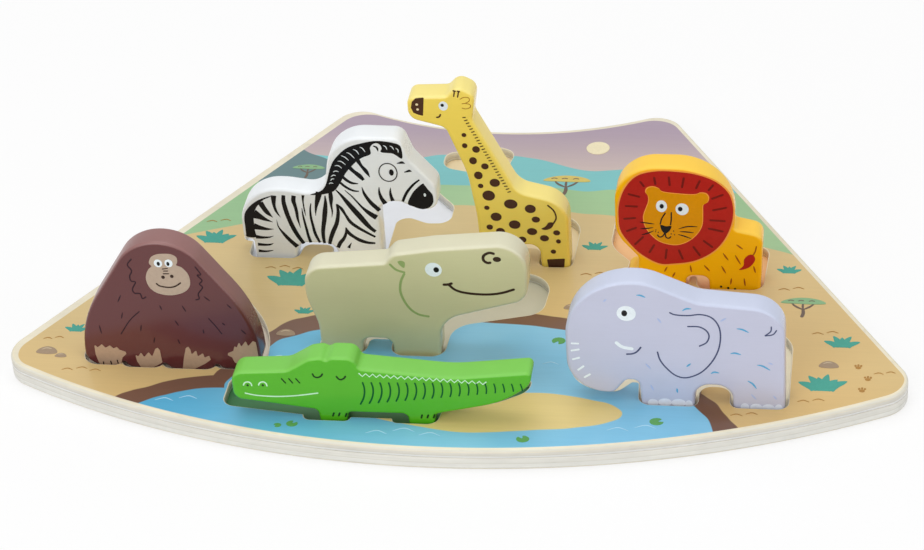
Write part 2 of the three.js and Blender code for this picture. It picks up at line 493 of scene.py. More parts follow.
def crocodile_stripes(count: int = 19) -> list[Stroke]:
    """Draws the bowed stripes on the crocodile's flank, shorter and straighter towards the tail.

    Args:
        count: how many there are.

    Returns:
        The strokes, from the head to the tail.
    """
    made = []
    for i in range(count):
        share = i / (count - 1)
        top, end = between((-7.2, 19.5), (58.9, 21.5), share), between((-9.1, 7.6), (59.7, 17.8), share)
        bow, width = between((1.35, 0.76), (0.1, 0.61), share)
        line = [(t, between(top, end, t)) for t in (0, 0.25, 0.5, 0.75, 1)]
        path = tuple((x + 4 * t * (1 - t) * bow, y) for t, (x, y) in line)
        made.append(Stroke(Ink.DARK_GREEN, 1, width, path))
    return made


def giraffe_mane(hairs: int = 27) -> list[Stroke]:
    """Draws the short hairs down the giraffe's neck, every third one flatter.

    Args:
        hairs: how many there are.

    Returns:
        The strokes, from the head down.
    """
    made = []
    for i in range(hairs):
        x, y = between((-14.6, 76.7), (3.15, 38.6), i / (hairs - 1))
        rise = 0.3 if i % 3 else 0.1
        made.append(Stroke(Ink.COCOA, 1, 0.5, ((x - 0.8, y - rise), (x + 0.8, y + rise))))
    return made


# The animals' prints, in millimetres, from the zero of each outline at the height of the tray's face.
APE_PRINT: Drawing = (
    Patch(
        Ink.TAN, 1,
        (
            (-5.3, 52.6), (-4, 55.1), (-1.5, 56.5), (1.7, 56.9), (4.8, 56.7), (6.9, 55.2), (7, 52.7),
            (6.4, 51.2), (8.7, 50), (11, 46.6), (11.4, 42.3), (10.1, 39.1), (7.1, 36.8), (2.2, 35.5),
            (-3, 36.2), (-6.4, 38.8), (-7.7, 42.8), (-7.3, 46), (-5.9, 48.8), (-4.5, 50.2), (-5.2, 51.3),
        ),
    ),
    *dots(Ink.EYE_WHITE, 2, (-1.4, 51.9, 1.8, 2), (3.2, 52.1, 1.75, 1.95)),
    *dots(Ink.BLACK, 3, (-1.3, 51.7, 0.7, 1.05), (2.9, 51.8, 0.65, 1.05)),
    *strokes(
        Ink.UMBER, 2, 0.5,
        ((-0.1, 49), (2.6, 49.5)), ((0.3, 48), (2.5, 48.1)), ((0, 46.6), (2.8, 46.7)),
    ),
    *dots(Ink.UMBER, 2, (-0.1, 44.8, 0.8, 0.85), (3.8, 45.4, 0.8, 0.85)),
    Stroke(Ink.UMBER, 2, 0.7, ((-3.6, 41.6), (-2, 40.2), (1.7, 39.6), (4.7, 40.3), (7.4, 42.3))),
    *strokes(
        Ink.PLUM, 1, 0.6,
        (
            (-12.7, 53.8), (-14.9, 50.7), (-13.5, 47.6), (-14.7, 44.8), (-14.4, 42.3), (-12.6, 41.7),
            (-14.3, 38.2), (-13.7, 36), (-11.3, 35.8), (-10.6, 33.3), (-8.8, 34.3),
        ),
        (
            (14.4, 50.8), (16.5, 46.8), (14.9, 46.3), (16.7, 43.7), (15.4, 41.8), (16.5, 40), (14.3, 36.7),
            (14.4, 34.2), (12.6, 33.4),
        ),
    ),
    *strokes(
        Ink.PLUM, 1, 0.5,
        ((-12.8, 26.5), (-17.7, 21.5), (-22.7, 13.9)), ((17.2, 24), (19.8, 20.1), (22.3, 15.8)),
    ),
    *strokes(
        Ink.PLUM, 1, 0.6,
        ((-19.9, 34.8), (-21.8, 31)), ((-20.4, 25.6), (-21.3, 22.3)), ((-31.7, 18.4), (-31.2, 13.9)),
        ((-12.9, 19.4), (-13.6, 15.9)), ((-3.5, 30), (-2.8, 27.5)), ((6.4, 30.2), (7.8, 27)),
        ((2.3, 22.3), (3.6, 19.6)), ((14.2, 18), (14.3, 15.7)), ((22.9, 21.8), (24.1, 20.6)),
        ((16.5, 35.4), (18.9, 33.1)), ((26.1, 31.6), (27.9, 29.5)), ((30.8, 18.6), (32.9, 16.1)),
        ((-7.8, 12.9), (-8.5, 9.9)), ((2.3, 12.3), (3.1, 9.8)), ends=Ends.POINTED,
    ),
    Patch(
        Ink.PAW, 1,
        (
            (-35.4, 8), (-34, 6.5), (-32, 8.3), (-30.5, 6.4), (-28.4, 7.8), (-27, 6.2), (-25.4, 7.1),
            (-24.4, 5.6), (-21.8, 4.6), (-21.6, 3.5), (-23.6, 1.5), (-24.7, -2.8), (-34.1, -3.7),
            (-35.4, 2.6),
        ),
        Turn.CRISP,
    ),
    *strokes(
        Ink.UMBER, 2, 0.6,
        ((-32.5, -1), (-32.5, -3.1)), ((-29.2, -0.4), (-28.9, -2.7)), ((-26.2, 0.2), (-25.9, -1.9)),
    ),
    Patch(
        Ink.PAW, 1,
        (
            (-17.7, 3.4), (-16.5, 2.3), (-15, 4.5), (-13.8, 2.1), (-11.5, 4.9), (-10.2, 2.5), (-8.3, 6.7),
            (-7.2, 7.4), (-6.4, 6.1), (-6, -0.4), (-10.7, -3.6), (-15.6, -4.1), (-17.3, -0.2),
        ),
        Turn.CRISP,
    ),
    Patch(
        Ink.PAW, 1,
        (
            (6.5, 8.6), (7.3, 7), (7.5, 4.3), (9.8, 6.8), (10.2, 3.4), (12.7, 5.4), (13.1, 2.9),
            (15.3, 4.1), (15.7, 1.9), (12.9, -0.4), (7.9, -3.4), (2.7, -3.6), (3.7, 1.7), (5.3, 7.6),
        ),
        Turn.CRISP,
    ),
    Patch(
        Ink.PAW, 1,
        (
            (29.3, 12.1), (30, 9.4), (32.3, 12.7), (33.1, 9.8), (35.4, 12.7), (36.7, 12.1), (37, 7),
            (37.1, 2.5), (29.4, -1.1), (26.2, 1), (25.4, 3.6), (23.5, 4.8), (23.8, 5.8), (26.3, 7.1),
            (27.1, 9.9), (27.9, 8.7),
        ),
        Turn.CRISP,
    ),
)

CROCODILE_PRINT: Drawing = (
    Stroke(
        Ink.PALE_GREEN, 1, 0.6,
        ((-58.2, 15.4), (-57.4, 16.9), (-55.9, 17.4), (-54.8, 16.6), (-54.5, 15.2)),
    ),
    Dot(Ink.PINE, 1, (-56.3, 15.6), 0.5, 0.55),
    Stroke(
        Ink.PALE_GREEN, 1, 0.6,
        ((-51.7, 15.7), (-50.9, 17.2), (-49.4, 17.7), (-48.3, 16.9), (-48, 15.4)),
    ),
    Dot(Ink.PINE, 1, (-49.8, 15.9), 0.5, 0.55),
    *strokes(
        Ink.PINE, 1, 0.6,
        ((-41.6, 19.9), (-39.8, 17.3)), ((-38.5, 20.1), (-36.7, 17.4)), ((-35.5, 20.2), (-33.7, 17.6)),
    ),
    *strokes(
        Ink.PINE, 1, 0.75,
        ((-28.1, 23.1), (-27.4, 21.4), (-26, 21), (-24.6, 21.7), (-23.6, 23.2)),
        ((-18.1, 22.2), (-17.3, 20.8), (-16.2, 20.3), (-14.8, 21.1), (-14, 22.4)),
    ),
    Stroke(
        Ink.PALE_GREEN, 1, 0.6,
        ((-58, 11.5), (-52.7, 10.5), (-44.9, 10.3), (-36.2, 11.1), (-26.4, 12.9)),
    ),
    crocodile_crest(),
    *crocodile_stripes(),
    *strokes(
        Ink.PINE, 1, 0.75,
        ((-20.6, 3), (-21.4, 0.8)), ((-18.1, 3.1), (-18.9, 1)), ((-15.2, 2.9), (-16, 0.8)),
        ((16.9, 3.7), (16.2, 1.5)), ((19.5, 3.8), (18.8, 1.7)), ((22.2, 4), (21.5, 1.8)),
    ),
)

ELEPHANT_PRINT: Drawing = (
    Dot(Ink.EYE_WHITE, 1, (-20.5, 45.3), 3.95, 3.75),
    Dot(Ink.BLACK, 2, (-21.3, 45.4), 1.2, 1.5),
    *strokes(
        Ink.SLATE, 1, 0.65,
        (
            (-2.9, 46.5), (-0.4, 45.4), (4.7, 45.2), (9.8, 45.9), (14.2, 44.6), (17, 40.8), (17.9, 35.3),
            (16.9, 28.2), (13.9, 21.6), (9.3, 16.2), (3.5, 13.5), (-1, 14.6), (-4.8, 18.4), (-7.2, 22.3),
            (-8.2, 26.5),
        ),
        ((4.3, 39.7), (9.1, 39.7), (12.1, 37.9), (13.2, 35.1), (12.1, 31.9), (9, 29.8)),
    ),
    Stroke(Ink.SLATE, 1, 0.75, ((-21.2, 24.6), (-18.6, 24.9), (-16.6, 26.1), (-14.8, 28.6))),
    Stroke(Ink.EYE_WHITE, 1, 1.55, ((-25.5, 30.8), (-22.7, 28.3), (-18, 27.3))),
    *strokes(
        Ink.EYE_WHITE, 1, 0.9,
        ((-44, 29.2), (-40.5, 29.2)), ((-44.2, 25.4), (-40.4, 26.3)), ((-43.8, 20.9), (-40.4, 22.1)),
        ((-41.7, 15.4), (-38.8, 17.9)), ((-39.2, 11.7), (-36.3, 13.8)),
    ),
    *strokes(
        Ink.SKY_BLUE, 1, 0.8,
        ((-16.1, 54.6), (-14.5, 54.6), (-12.4, 53.6)), ((2.5, 47.5), (4.1, 48.6), (6.2, 48.6)),
        ((24.5, 39.4), (26.9, 39), (29.4, 37.6)), ((21.8, 26.6), (23.6, 27), (26.2, 26.3)),
        ((32.7, 21.3), (35.1, 20.8), (38.1, 18.8)), ((28.8, 13), (30.9, 11.5), (32.5, 9)),
        ((13.7, 16), (15.1, 16.9), (17.2, 16.5)), ((3.7, 19.2), (5.5, 20.9)), ((-0.5, 7.9), (-0.3, 5.5)),
        ends=Ends.POINTED,
    ),
    *strokes(
        Ink.LILAC, 1, 0.7,
        ((-29.7, 50.8), (-28.4, 52.2)), ((-7.8, 43.4), (-6.2, 41.1)), ((-13.2, 20.1), (-11.2, 17.5)),
        ((17.9, 42.8), (20.3, 44.5)), ((-11.4, 9.2), (-10.2, 6.4)), ((30.2, 6.2), (32.4, 3.5)),
        ((39.4, 5.8), (40.7, 3.9)), ((37.3, 22.6), (39.2, 21.9)), ends=Ends.POINTED,
    ),
    *strokes(
        Ink.SLATE, 1, 0.55,
        ((38.6, 41.1), (38.3, 38.5), (35.9, 36.2)), ((35.9, 36.2), (39.2, 37), (40.8, 39.3)),
    ),
    *dots(
        Ink.NAIL, 1,
        (-10.6, -0.2, 2.2, 2), (-5.6, 0.4, 2.8, 2), (0.1, 0.3, 2.95, 2), (4.4, -0.2, 1.55, 2),
        (27.6, -0.7, 1.8, 2), (32.3, -0.7, 2.55, 2), (37.3, -0.8, 2.7, 2), (41.6, -0.7, 1.65, 2),
    ),
)

HIPPO_PRINT: Drawing = (
    Dot(Ink.EYE_WHITE, 1, (8.2, 44.3), 3.6, 3.55),
    Dot(Ink.BLACK, 2, (9.4, 44.3), 1.2, 1.35),
    Stroke(Ink.UMBER, 1, 1.25, ((11.6, 36.7), (14.1, 36.9), (16, 37.7))),
    Stroke(
        Ink.UMBER, 1, 1.15,
        ((14, 37), (17.1, 34.1), (22, 32.7), (29.8, 32.3), (36.2, 33.2), (42.4, 35.5)),
    ),
    Stroke(
        Ink.UMBER, 1, 1.25,
        ((34.9, 53.2), (32.5, 53.7), (30.1, 52.2), (29.9, 49.9), (31.5, 48.6), (33.2, 48.9)),
    ),
    Dot(Ink.UMBER, 1, (35.6, 50.5), 1.75, 1.3),
    Stroke(Ink.OLIVE, 1, 1.05, ((-10.5, 46.6), (-7.8, 43.7), (-4, 42.3))),
    Patch(Ink.OLIVE, 1, ((-6.9, 47.8), (-5.3, 48.4), (-3.8, 47.4), (-4.3, 44.8), (-5.8, 45.8))),
    Stroke(
        Ink.OLIVE, 1, 1.05,
        ((-4.3, 42.1), (-6.2, 37.7), (-6.8, 32.6), (-5.4, 27.4), (-2.9, 23.2), (0.5, 20.7), (4.9, 19.8)),
    ),
)

ZEBRA_PRINT: Drawing = (
    Patch(
        Ink.BLACK, 1,
        (
            (-43.6, 9.9), (-43.8, 11.8), (-43.8, 15.7), (-43.8, 19.5), (-43.1, 22.8), (-41.4, 25.5),
            (-39.3, 27.7), (-36.8, 29.6), (-33.9, 31.1), (-30.6, 32.3), (-30.6, 31.8), (-33.6, 30.3),
            (-35.6, 28.4), (-37.4, 26.2), (-38.7, 23.4), (-39.4, 20.2), (-39.5, 16.4), (-39.5, 13.1),
            (-39.4, 9.8),
        ),
    ),
    *bands(
        Ink.BLACK, 1,
        ((-29, 32.6, 2.6), (-29.2, 30.2, 2.1), (-29.2, 27, 1.4), (-28.5, 24, 1.1), (-26.9, 20.9, 0.1)),
        ((-35.5, 28.7, 2.7), (-34.2, 25.9, 2.4), (-32.7, 23.3, 2.1), (-30.4, 20.7, 0.1)),
        ((-39.2, 22.5, 5), (-36.8, 21.2, 3.3), (-34.2, 19.7, 1.8), (-30.7, 18.2, 0.1)),
        ((-39.7, 15.7, 3.4), (-37, 15, 2.3), (-33.8, 14.4, 1.3), (-30.6, 14.4, 0.1)),
        ((-39.4, 10, 2), (-36.6, 9.7, 1.4), (-33.4, 9.9, 0.8), (-31.1, 10.7, 0.1)),
        ((-38.9, 5.9, 1.6), (-35.6, 5.7, 1.2), (-33.3, 5.9, 0.9), (-31.6, 6.6, 0.2)),
        ((-38.9, 2.3, 1.5), (-36, 2.1, 1), (-33.7, 2.4, 0.7), (-32, 2.8, 0.2)),
        (
            (-28.8, 19.7, 0.1), (-28.6, 16.7, 0.5), (-27.7, 14.4, 0.8), (-25.6, 11.1, 1.6),
            (-23.4, 8.2, 1.9), (-20.6, 5.2, 2.2),
        ),
        (
            (-24.4, 32.9, 1.7), (-24.7, 29.8, 1.9), (-24.3, 26.1, 2.1), (-23.3, 21.2, 2.1),
            (-21.8, 16.1, 2.1), (-20, 11.6, 2), (-17.5, 7, 1.7),
        ),
        (
            (-19.7, 32.8, 2), (-20.1, 30.2, 2), (-19.6, 27.3, 1.6), (-19.2, 24.1, 1.5), (-19, 20.3, 1.1),
            (-18.2, 15.4, 0.1),
        ),
        ((-15.4, 33.2, 1.4), (-15.7, 31.2, 0.9), (-15.7, 27.9, 0.6), (-15.5, 25, 0.6), (-15.2, 22, 0.1)),
        (
            (-16.6, 26.3, 0.2), (-16.5, 23.1, 0.7), (-16.1, 19.3, 1), (-15.5, 15, 1.2), (-15, 11.2, 1.3),
            (-14.2, 7.7, 1.4),
        ),
        (
            (-12.2, 28.9, 0.4), (-12.8, 25.9, 0.8), (-12.9, 21.6, 1.1), (-12.4, 17.2, 1.2),
            (-11.7, 12.6, 1.4), (-10, 7.8, 1.1),
        ),
        ((-7.9, 35, 3), (-8.9, 31.4, 2.4), (-9.9, 27.6, 1.4), (-10.4, 24.6, 0.7), (-10.6, 22.2, 0.1)),
        (
            (-5.4, 33.2, 0.5), (-5.5, 29.3, 1.5), (-6.1, 25, 2.2), (-6.9, 20.1, 2.1), (-7.9, 14.7, 1.8),
            (-8.1, 10.9, 1.6), (-7.9, 7.5, 1.3),
        ),
        ((-2.8, 35.8, 1.6), (-2.8, 32.1, 2), (-3, 28.3, 1.1), (-2.8, 24.8, 0.7), (-3.3, 21.6, 0.1)),
        (
            (-0.6, 28.9, 0.5), (-0.1, 25.7, 1.4), (-0.5, 22, 1.7), (-1.5, 18.1, 1.9), (-3.2, 14.3, 2),
            (-4.6, 10.7, 1.9), (-5.6, 7.1, 1.5),
        ),
        (
            (-0.5, 28.8, 0.8), (1.5, 26.5, 1.5), (3.1, 23.2, 1.2), (5, 19.5, 1.6), (7.8, 16.9, 1.6),
            (11.7, 14.2, 1.3), (15.8, 11.7, 1),
        ),
        ((2.7, 16.4, 0.5), (2.5, 13.4, 1.2), (1.3, 10.5, 1.5), (-0.5, 8.1, 1.8), (-1.9, 5.3, 1.7)),
        (
            (2.7, 16.2, 0.6), (3.8, 13.5, 1.7), (6, 11.4, 1.6), (8.8, 9.6, 1.8), (12.1, 8.5, 1.4),
            (15.5, 8.3, 0.9),
        ),
        ((4.6, 8.2, 0.1), (3.7, 6.7, 0.9), (3, 5.3, 1.5)),
        (
            (-0.2, 36.6, 0.5), (2, 33.7, 1.2), (4.6, 29.8, 2.1), (7.4, 25.7, 2.6), (9.6, 22.6, 2.7),
            (12.1, 18.9, 2.4), (14.1, 16.4, 1.9), (16.1, 14.6, 1.6),
        ),
        (
            (3.9, 36.4, 0.3), (6.5, 33.7, 0.6), (8.9, 30.5, 0.8), (11, 27.6, 1.1), (13.3, 25.2, 1.9),
            (15.2, 23.6, 2.4), (17.2, 22.2, 2.7),
        ),
        ((11.8, 38.4, 0.2), (12.5, 35.2, 1.2), (14, 32.1, 1.6), (15.9, 29.3, 2), (18.9, 26.1, 2.1)),
        ((19.6, 38.6, 0.3), (19.5, 36, 1), (20.2, 32.8, 1.7), (21.8, 29.8, 2.2)),
        ((24.8, 38.5, 0.2), (24.5, 36.1, 1), (24.7, 33.7, 1.4), (25.3, 31.4, 1.8)),
        ((38.1, 43, 0.7), (35.8, 41, 1), (33.6, 38.5, 1.2), (31.5, 35.3, 1.3), (29.7, 31.2, 1.2)),
        ((10.9, 52.9, 2.2), (12.4, 49.8, 1.4), (14.4, 46.8, 1.8), (15.9, 43.7, 0.2)),
        ((6.6, 49.1, 2.1), (8.7, 46.7, 1.8), (11.2, 44.3, 2.2), (12.9, 42.1, 1.3)),
        ((3.2, 44, 1.4), (5.2, 41.8, 1.4), (7.5, 40.4, 1.2), (10.3, 40.1, 0.4)),
        ((1.8, 40.9, 1.2), (3.8, 38.8, 1.2), (6.1, 37.1, 1.1), (8.3, 36.2, 0.9), (10.3, 36.1, 0.5)),
        ((28.6, 51.4, 0.3), (29.8, 51.6, 0.8), (31, 51.9, 1.3), (32.2, 51.3, 0.2)),
        ((31.6, 46.8, 0.4), (32.8, 47.2, 0.8), (33.9, 47.6, 1.2), (35, 47.3, 0.2)),
        ((18.6, 60.2, 0.4), (20, 59.6, 0.9), (20.5, 58.5, 0.8), (20.6, 57.4, 0.2)),
    ),
    Patch(
        Ink.BLACK, 1,
        (
            (39.4, 41), (36.7, 38.6), (34.2, 35.4), (32, 30.2), (34.6, 28.7), (37.3, 27.6), (39.5, 27.6),
            (41.9, 28.7), (43.4, 30.9), (43.7, 33), (43.3, 35.6), (41.6, 38), (40.2, 40.3),
        ),
    ),
    Dot(Ink.EYE_WHITE, 2, (40, 35.1), 0.55, 0.9),
    Stroke(Ink.BLACK, 1, 0.5, loop((24.3, 46.5), 4.1, 4.7)),
    Dot(Ink.BLACK, 1, (25.8, 46.5), 1.05, 1.65),
    Patch(
        Ink.BLACK, 1,
        (
            (-12, 33.6), (-7.6, 35.4), (-5.3, 37.6), (-3.7, 41.4), (-1.8, 47.7), (0.8, 52.9), (6.6, 58.7),
            (13.8, 61.5), (20.5, 62.8), (27.6, 62), (30.9, 60.1), (31.1, 54), (27.2, 56.4), (22, 57),
            (22.4, 59), (21.8, 60.8), (20.2, 61.7), (18.3, 60.9), (17.2, 59), (17.1, 55.9), (13.6, 54.1),
            (10.2, 51.6), (5.4, 46), (2.4, 40.7), (-1.1, 35.9), (-6.5, 33.9),
        ),
    ),
    *strokes(
        Ink.EYE_WHITE, 2, 0.45,
        ((12.5, 59.4), (13.7, 58.9), (14.9, 56.9)), ((9.5, 58.2), (10.9, 57.5), (12, 55.6)),
        ((6.4, 56.5), (8, 55.7), (9.8, 53.5)), ((3.8, 54.8), (5.5, 54), (7.1, 52.3)),
        ((2, 51.8), (3.6, 51.7), (5.5, 50)), ((0.5, 49.3), (2, 49.5), (3.7, 48.1)),
        ((-0.6, 46), (0.7, 46.6), (2.1, 46.2)), ((-1.7, 43.5), (-0.6, 44.4), (0.6, 44.1)),
        ((-2.1, 41.3), (-1.4, 42.3), (-0.3, 42.4)), ((-3, 39.6), (-2.2, 40.2), (-0.9, 40)),
        ((23.2, 60.7), (24.3, 59.9), (24.8, 58.4)), ((26.1, 60.5), (27.2, 59.8), (27.8, 58.4)),
        ((28.6, 59.4), (29.6, 58.6), (29.7, 57)), ends=Ends.POINTED,
    ),
)

GIRAFFE_PRINT: Drawing = (
    Patch(
        Ink.COCOA, 1,
        (
            (-31.7, 86.4), (-35.3, 86), (-37.1, 84.1), (-37.7, 81.1), (-36.8, 78.6), (-34.7, 77.6),
            (-32.6, 77.1),
        ),
        Turn.CRISP,
    ),
    *dots(Ink.CREAM, 2, (-35, 82.8, 0.6, 0.55), (-34.8, 80.3, 0.6, 0.55)),
    Dot(Ink.EYE_WHITE, 1, (-23.4, 82.3), 2.05, 2.3),
    Dot(Ink.BLACK, 2, (-23.8, 82.7), 0.75, 0.8),
    Stroke(Ink.COCOA, 1, 0.75, ((-26.9, 76.4), (-25.5, 76.8), (-24.8, 78.2))),
    Stroke(Ink.COCOA, 1, 0.6, ((-18, 90), (-18.5, 87))),
    Stroke(Ink.COCOA, 1, 0.7, ((-18.8, 90.2), (-17.3, 89.8))),
    Stroke(Ink.COCOA, 1, 0.6, ((-16.2, 89.8), (-16.8, 86.7))),
    Stroke(Ink.COCOA, 1, 0.7, ((-17, 90), (-15.5, 89.7))),
    *strokes(
        Ink.AMBER, 1, 0.35,
        ((-15.9, 85.9), (-14, 86.9), (-12, 86.7), (-11.8, 85.2), (-13.5, 84), (-15.2, 83.6)),
        ((-13.6, 83.9), (-11.6, 83.3), (-11.6, 81.9), (-13.5, 81.1), (-15.3, 81.5)),
    ),
    *giraffe_mane(),
    *dots(
        Ink.COCOA, 1,
        (-15.2, 67.7, 1.05, 1.05), (-15.2, 62.2, 1.2, 1.25), (-10.3, 60.4, 1.7, 1.7),
        (-12, 54.5, 1.7, 1.85), (-6.9, 51.7, 1.65, 1.55), (-10.1, 46.9, 1.9, 2), (-9.4, 41.4, 1.2, 1.15),
        (-3, 43.2, 2.3, 2.1), (-6.1, 36.4, 2.8, 2.65), (-7.3, 29.9, 1.2, 1.1), (-3.4, 25.2, 2.45, 2.2),
        (3.5, 32.2, 3, 2.45), (12.1, 29.9, 2.45, 2.2), (14.3, 24.3, 1.85, 1.55), (4.7, 21.3, 2.6, 2.25),
        (12.3, 17.8, 2.3, 1.85), (17.7, 14.4, 2, 1.65), (-1.9, 17.4, 2.05, 1.9), (7.7, 13.3, 1.85, 1.65),
        (23.3, 17.5, 1.55, 1.35), (23.9, 12.9, 1.1, 1.1), (21.4, 7.3, 1.2, 1.1), (-6.6, 19.6, 1.45, 1.35),
        (1.1, 10.8, 1.85, 1.65), (-5, 11.4, 1.7, 1.65), (-7.4, 7, 1.6, 1.35), (-2.2, 6.6, 1.35, 1.25),
    ),
    Stroke(Ink.COCOA, 1, 0.7, ((19.8, 32.2), (22.5, 29.2), (23.4, 25.5), (22, 22.2))),
    Patch(
        Ink.COCOA, 1,
        ((22.2, 22.6), (21.1, 20.1), (18.6, 18.9), (16.6, 19.4), (18.4, 20.7), (20.1, 22.9)),
    ),
    Patch(Ink.COCOA, 1, ((18.3, 3), (26.4, 3.7), (25.9, -1), (18.8, -1.2)), Turn.CRISP),
    Patch(Ink.COCOA, 1, ((-8.6, 3.2), (-0.7, 3.6), (-1.2, -1), (-8.1, -1.2)), Turn.CRISP),
)

# The lion's mane and head are each printed twice, which leaves a pale rim round them.
LION_CENTRE: Point = (-5.3, 36)
RIM_SHARE = 0.972
LION_MANE: Path = (
    (-31, 35.2), (-30.5, 42.9), (-27.6, 51.2), (-22.1, 57.7), (-14.1, 60.3), (-5.1, 60.4), (4.3, 59.1),
    (12.7, 55.6), (18.4, 49.5), (20.3, 41.3), (19.3, 32.9), (16, 24.5), (10.6, 17.8), (2.5, 12.9),
    (-7.2, 11), (-13.7, 11.1), (-21.6, 16), (-27.4, 23), (-30.4, 28.7),
)
LION_HEAD: Path = (
    (-19.6, 34.9), (-19.2, 38.1), (-17.3, 43.8), (-17.2, 46.9), (-18.3, 49.1), (-17.6, 51.2), (-15.2, 52.1),
    (-12.6, 51.3), (-10.6, 49.5), (-3.8, 48.7), (3, 48.5), (5.6, 49.5), (8.2, 49.1), (9.3, 47.1),
    (8.7, 44.6), (6.8, 43), (6.6, 38.9), (6.2, 32.6), (3.7, 27.4), (-0.6, 23.4), (-5.9, 21.6), (-12.2, 23),
    (-16.4, 26.7), (-18.9, 31.1),
)
LION_PRINT: Drawing = (
    Patch(Ink.APRICOT, 1, LION_MANE),
    Patch(Ink.MANE_RED, 2, shrunk(LION_MANE, LION_CENTRE, RIM_SHARE)),
    Patch(Ink.APRICOT, 3, LION_HEAD),
    Patch(Ink.OCHRE, 4, shrunk(LION_HEAD, LION_CENTRE, RIM_SHARE)),
    *dots(Ink.EYE_WHITE, 5, (-11.4, 41.9, 2.4, 3.05), (-2.5, 40.6, 2.85, 3.05)),
    *dots(Ink.BLACK, 6, (-11.3, 41.9, 0.9, 1.2), (-3.3, 40.7, 1, 1.2)),
    *strokes(
        Ink.BLACK, 5, 0.6,
        ((-9.7, 38.6), (-11.4, 35.5), (-12.2, 32.3)), ((-7.2, 39), (-7.3, 35.3), (-7.7, 32.1)),
    ),
    Patch(
        Ink.BLACK, 5,
        ((-12.1, 32.1), (-9.7, 31.5), (-7.3, 31.6), (-8.3, 29), (-10, 27.7), (-11.5, 29.1)),
    ),
    *strokes(
        Ink.BLACK, 5, 0.6,
        ((-13.6, 27), (-12.7, 25.8), (-11.4, 26.1), (-10.3, 27.8)),
        ((-10.1, 27.8), (-9.8, 25.8), (-8.6, 25.2), (-7.5, 26.3)),
    ),
    *strokes(
        Ink.BLACK, 5, 0.6,
        ((-21, 33.3), (-17.8, 32.9), (-14.7, 32.5)), ((-21, 29.8), (-17.9, 30.1), (-15.2, 30.7)),
        ((-20.4, 26.6), (-17.4, 27.7), (-15, 29)), ((-4.2, 30.3), (-0.4, 31.6), (4, 31.7)),
        ((-3.7, 28.9), (-0.8, 28.8), (2.4, 28.5)), ((-4.5, 27.4), (-1.6, 26.5), (1.3, 25.3)),
        ends=Ends.POINTED,
    ),
    *dots(
        Ink.BLACK, 5,
        (-14.3, 28.5, 0.25, 0.3), (-13.1, 28.2, 0.25, 0.3), (-14.1, 29.4, 0.25, 0.3),
        (-7.5, 27.6, 0.25, 0.3), (-6.4, 29.1, 0.25, 0.3), (-6, 27.2, 0.25, 0.3),
    ),
    *strokes(
        Ink.WINE, 3, 0.95,
        ((-20.5, 54.5), (-18.6, 51.6)), ((-14.3, 56.9), (-13.7, 52.8)), ((-7.9, 57.3), (-7.6, 52.4)),
        ((-1.4, 57), (-2.4, 51.5)), ((5.5, 55.7), (3.6, 51.2)), ((11.3, 53.7), (8.9, 50.4)),
        ((15.5, 48.7), (10.2, 46.2)), ((16.9, 42), (10.5, 40.3)), ((16.3, 34.9), (9.3, 35.2)),
        ((15.3, 29.4), (8.5, 30.9)), ((10.6, 20.9), (6.3, 24.6)), ((5, 16.2), (1.9, 21.3)),
        ((-2.6, 14.1), (-4.4, 19.3)), ((-10.3, 14), (-9.6, 19.6)), ((-17.4, 17.1), (-14.9, 21.7)),
        ((-23.7, 21.2), (-19.6, 25.7)), ((-27.2, 28.2), (-22.4, 30.4)), ((-28.2, 34.7), (-22.6, 35.4)),
        ((-27.3, 41.5), (-21.6, 41.3)), ((-25.9, 47.8), (-20.5, 46.3)),
    ),
    *strokes(
        Ink.RUST, 1, 0.7,
        ((20.8, 22.7), (23.6, 20.4)), ((14.9, 18), (17.2, 14.3)), ((20.2, 17.1), (22.5, 12.4)),
        ((0.5, 11.1), (1, 7.4)), ((6.6, 11.3), (9, 8.3)), ((14.2, 11.2), (16, 7.4)),
        ((28.2, 11.6), (29, 8.1)), ((-9.6, 9.9), (-10.9, 7.3)), ((-6.2, 7.1), (-7.4, 4.6)),
        ((18.5, 4.8), (18.1, 1.5)), ((24, 5), (24.5, 0.8)), ends=Ends.POINTED,
    ),
    Stroke(Ink.RUST, 1, 0.55, ((29.5, 22.2), (28.9, 19.3), (27.9, 17.2))),
    Patch(
        Ink.MANE_RED, 1,
        (
            (27.9, 17.5), (28.9, 15.2), (27.5, 12.2), (25.1, 10.2), (21.9, 9.4), (23.8, 11.8), (24.1, 15),
            (25.9, 17.3),
        ),
    ),
    *dots(Ink.BLACK, 1, (13.9, 0.2, 0.5, 0.55), (17, -0.5, 0.5, 0.55), (20, -0.9, 0.5, 0.55)),
)


def arc(centre: Vector, radius: float, first: float, turn: float, step: float) -> list[Vector]:
    """Divides an arc.

    Args:
        centre: its middle.
        radius: its radius.
        first: the angle that it starts at.
        turn: the angle that it runs through, less than zero for clockwise.
        step: the largest angle between two points.

    Returns:
        Points along the arc.
    """
    count = max(2, math.ceil(abs(turn) / step))
    angles = [first + turn * i / count for i in range(count + 1)]
    return [centre + Vector((math.cos(a), math.sin(a))) * radius for a in angles]


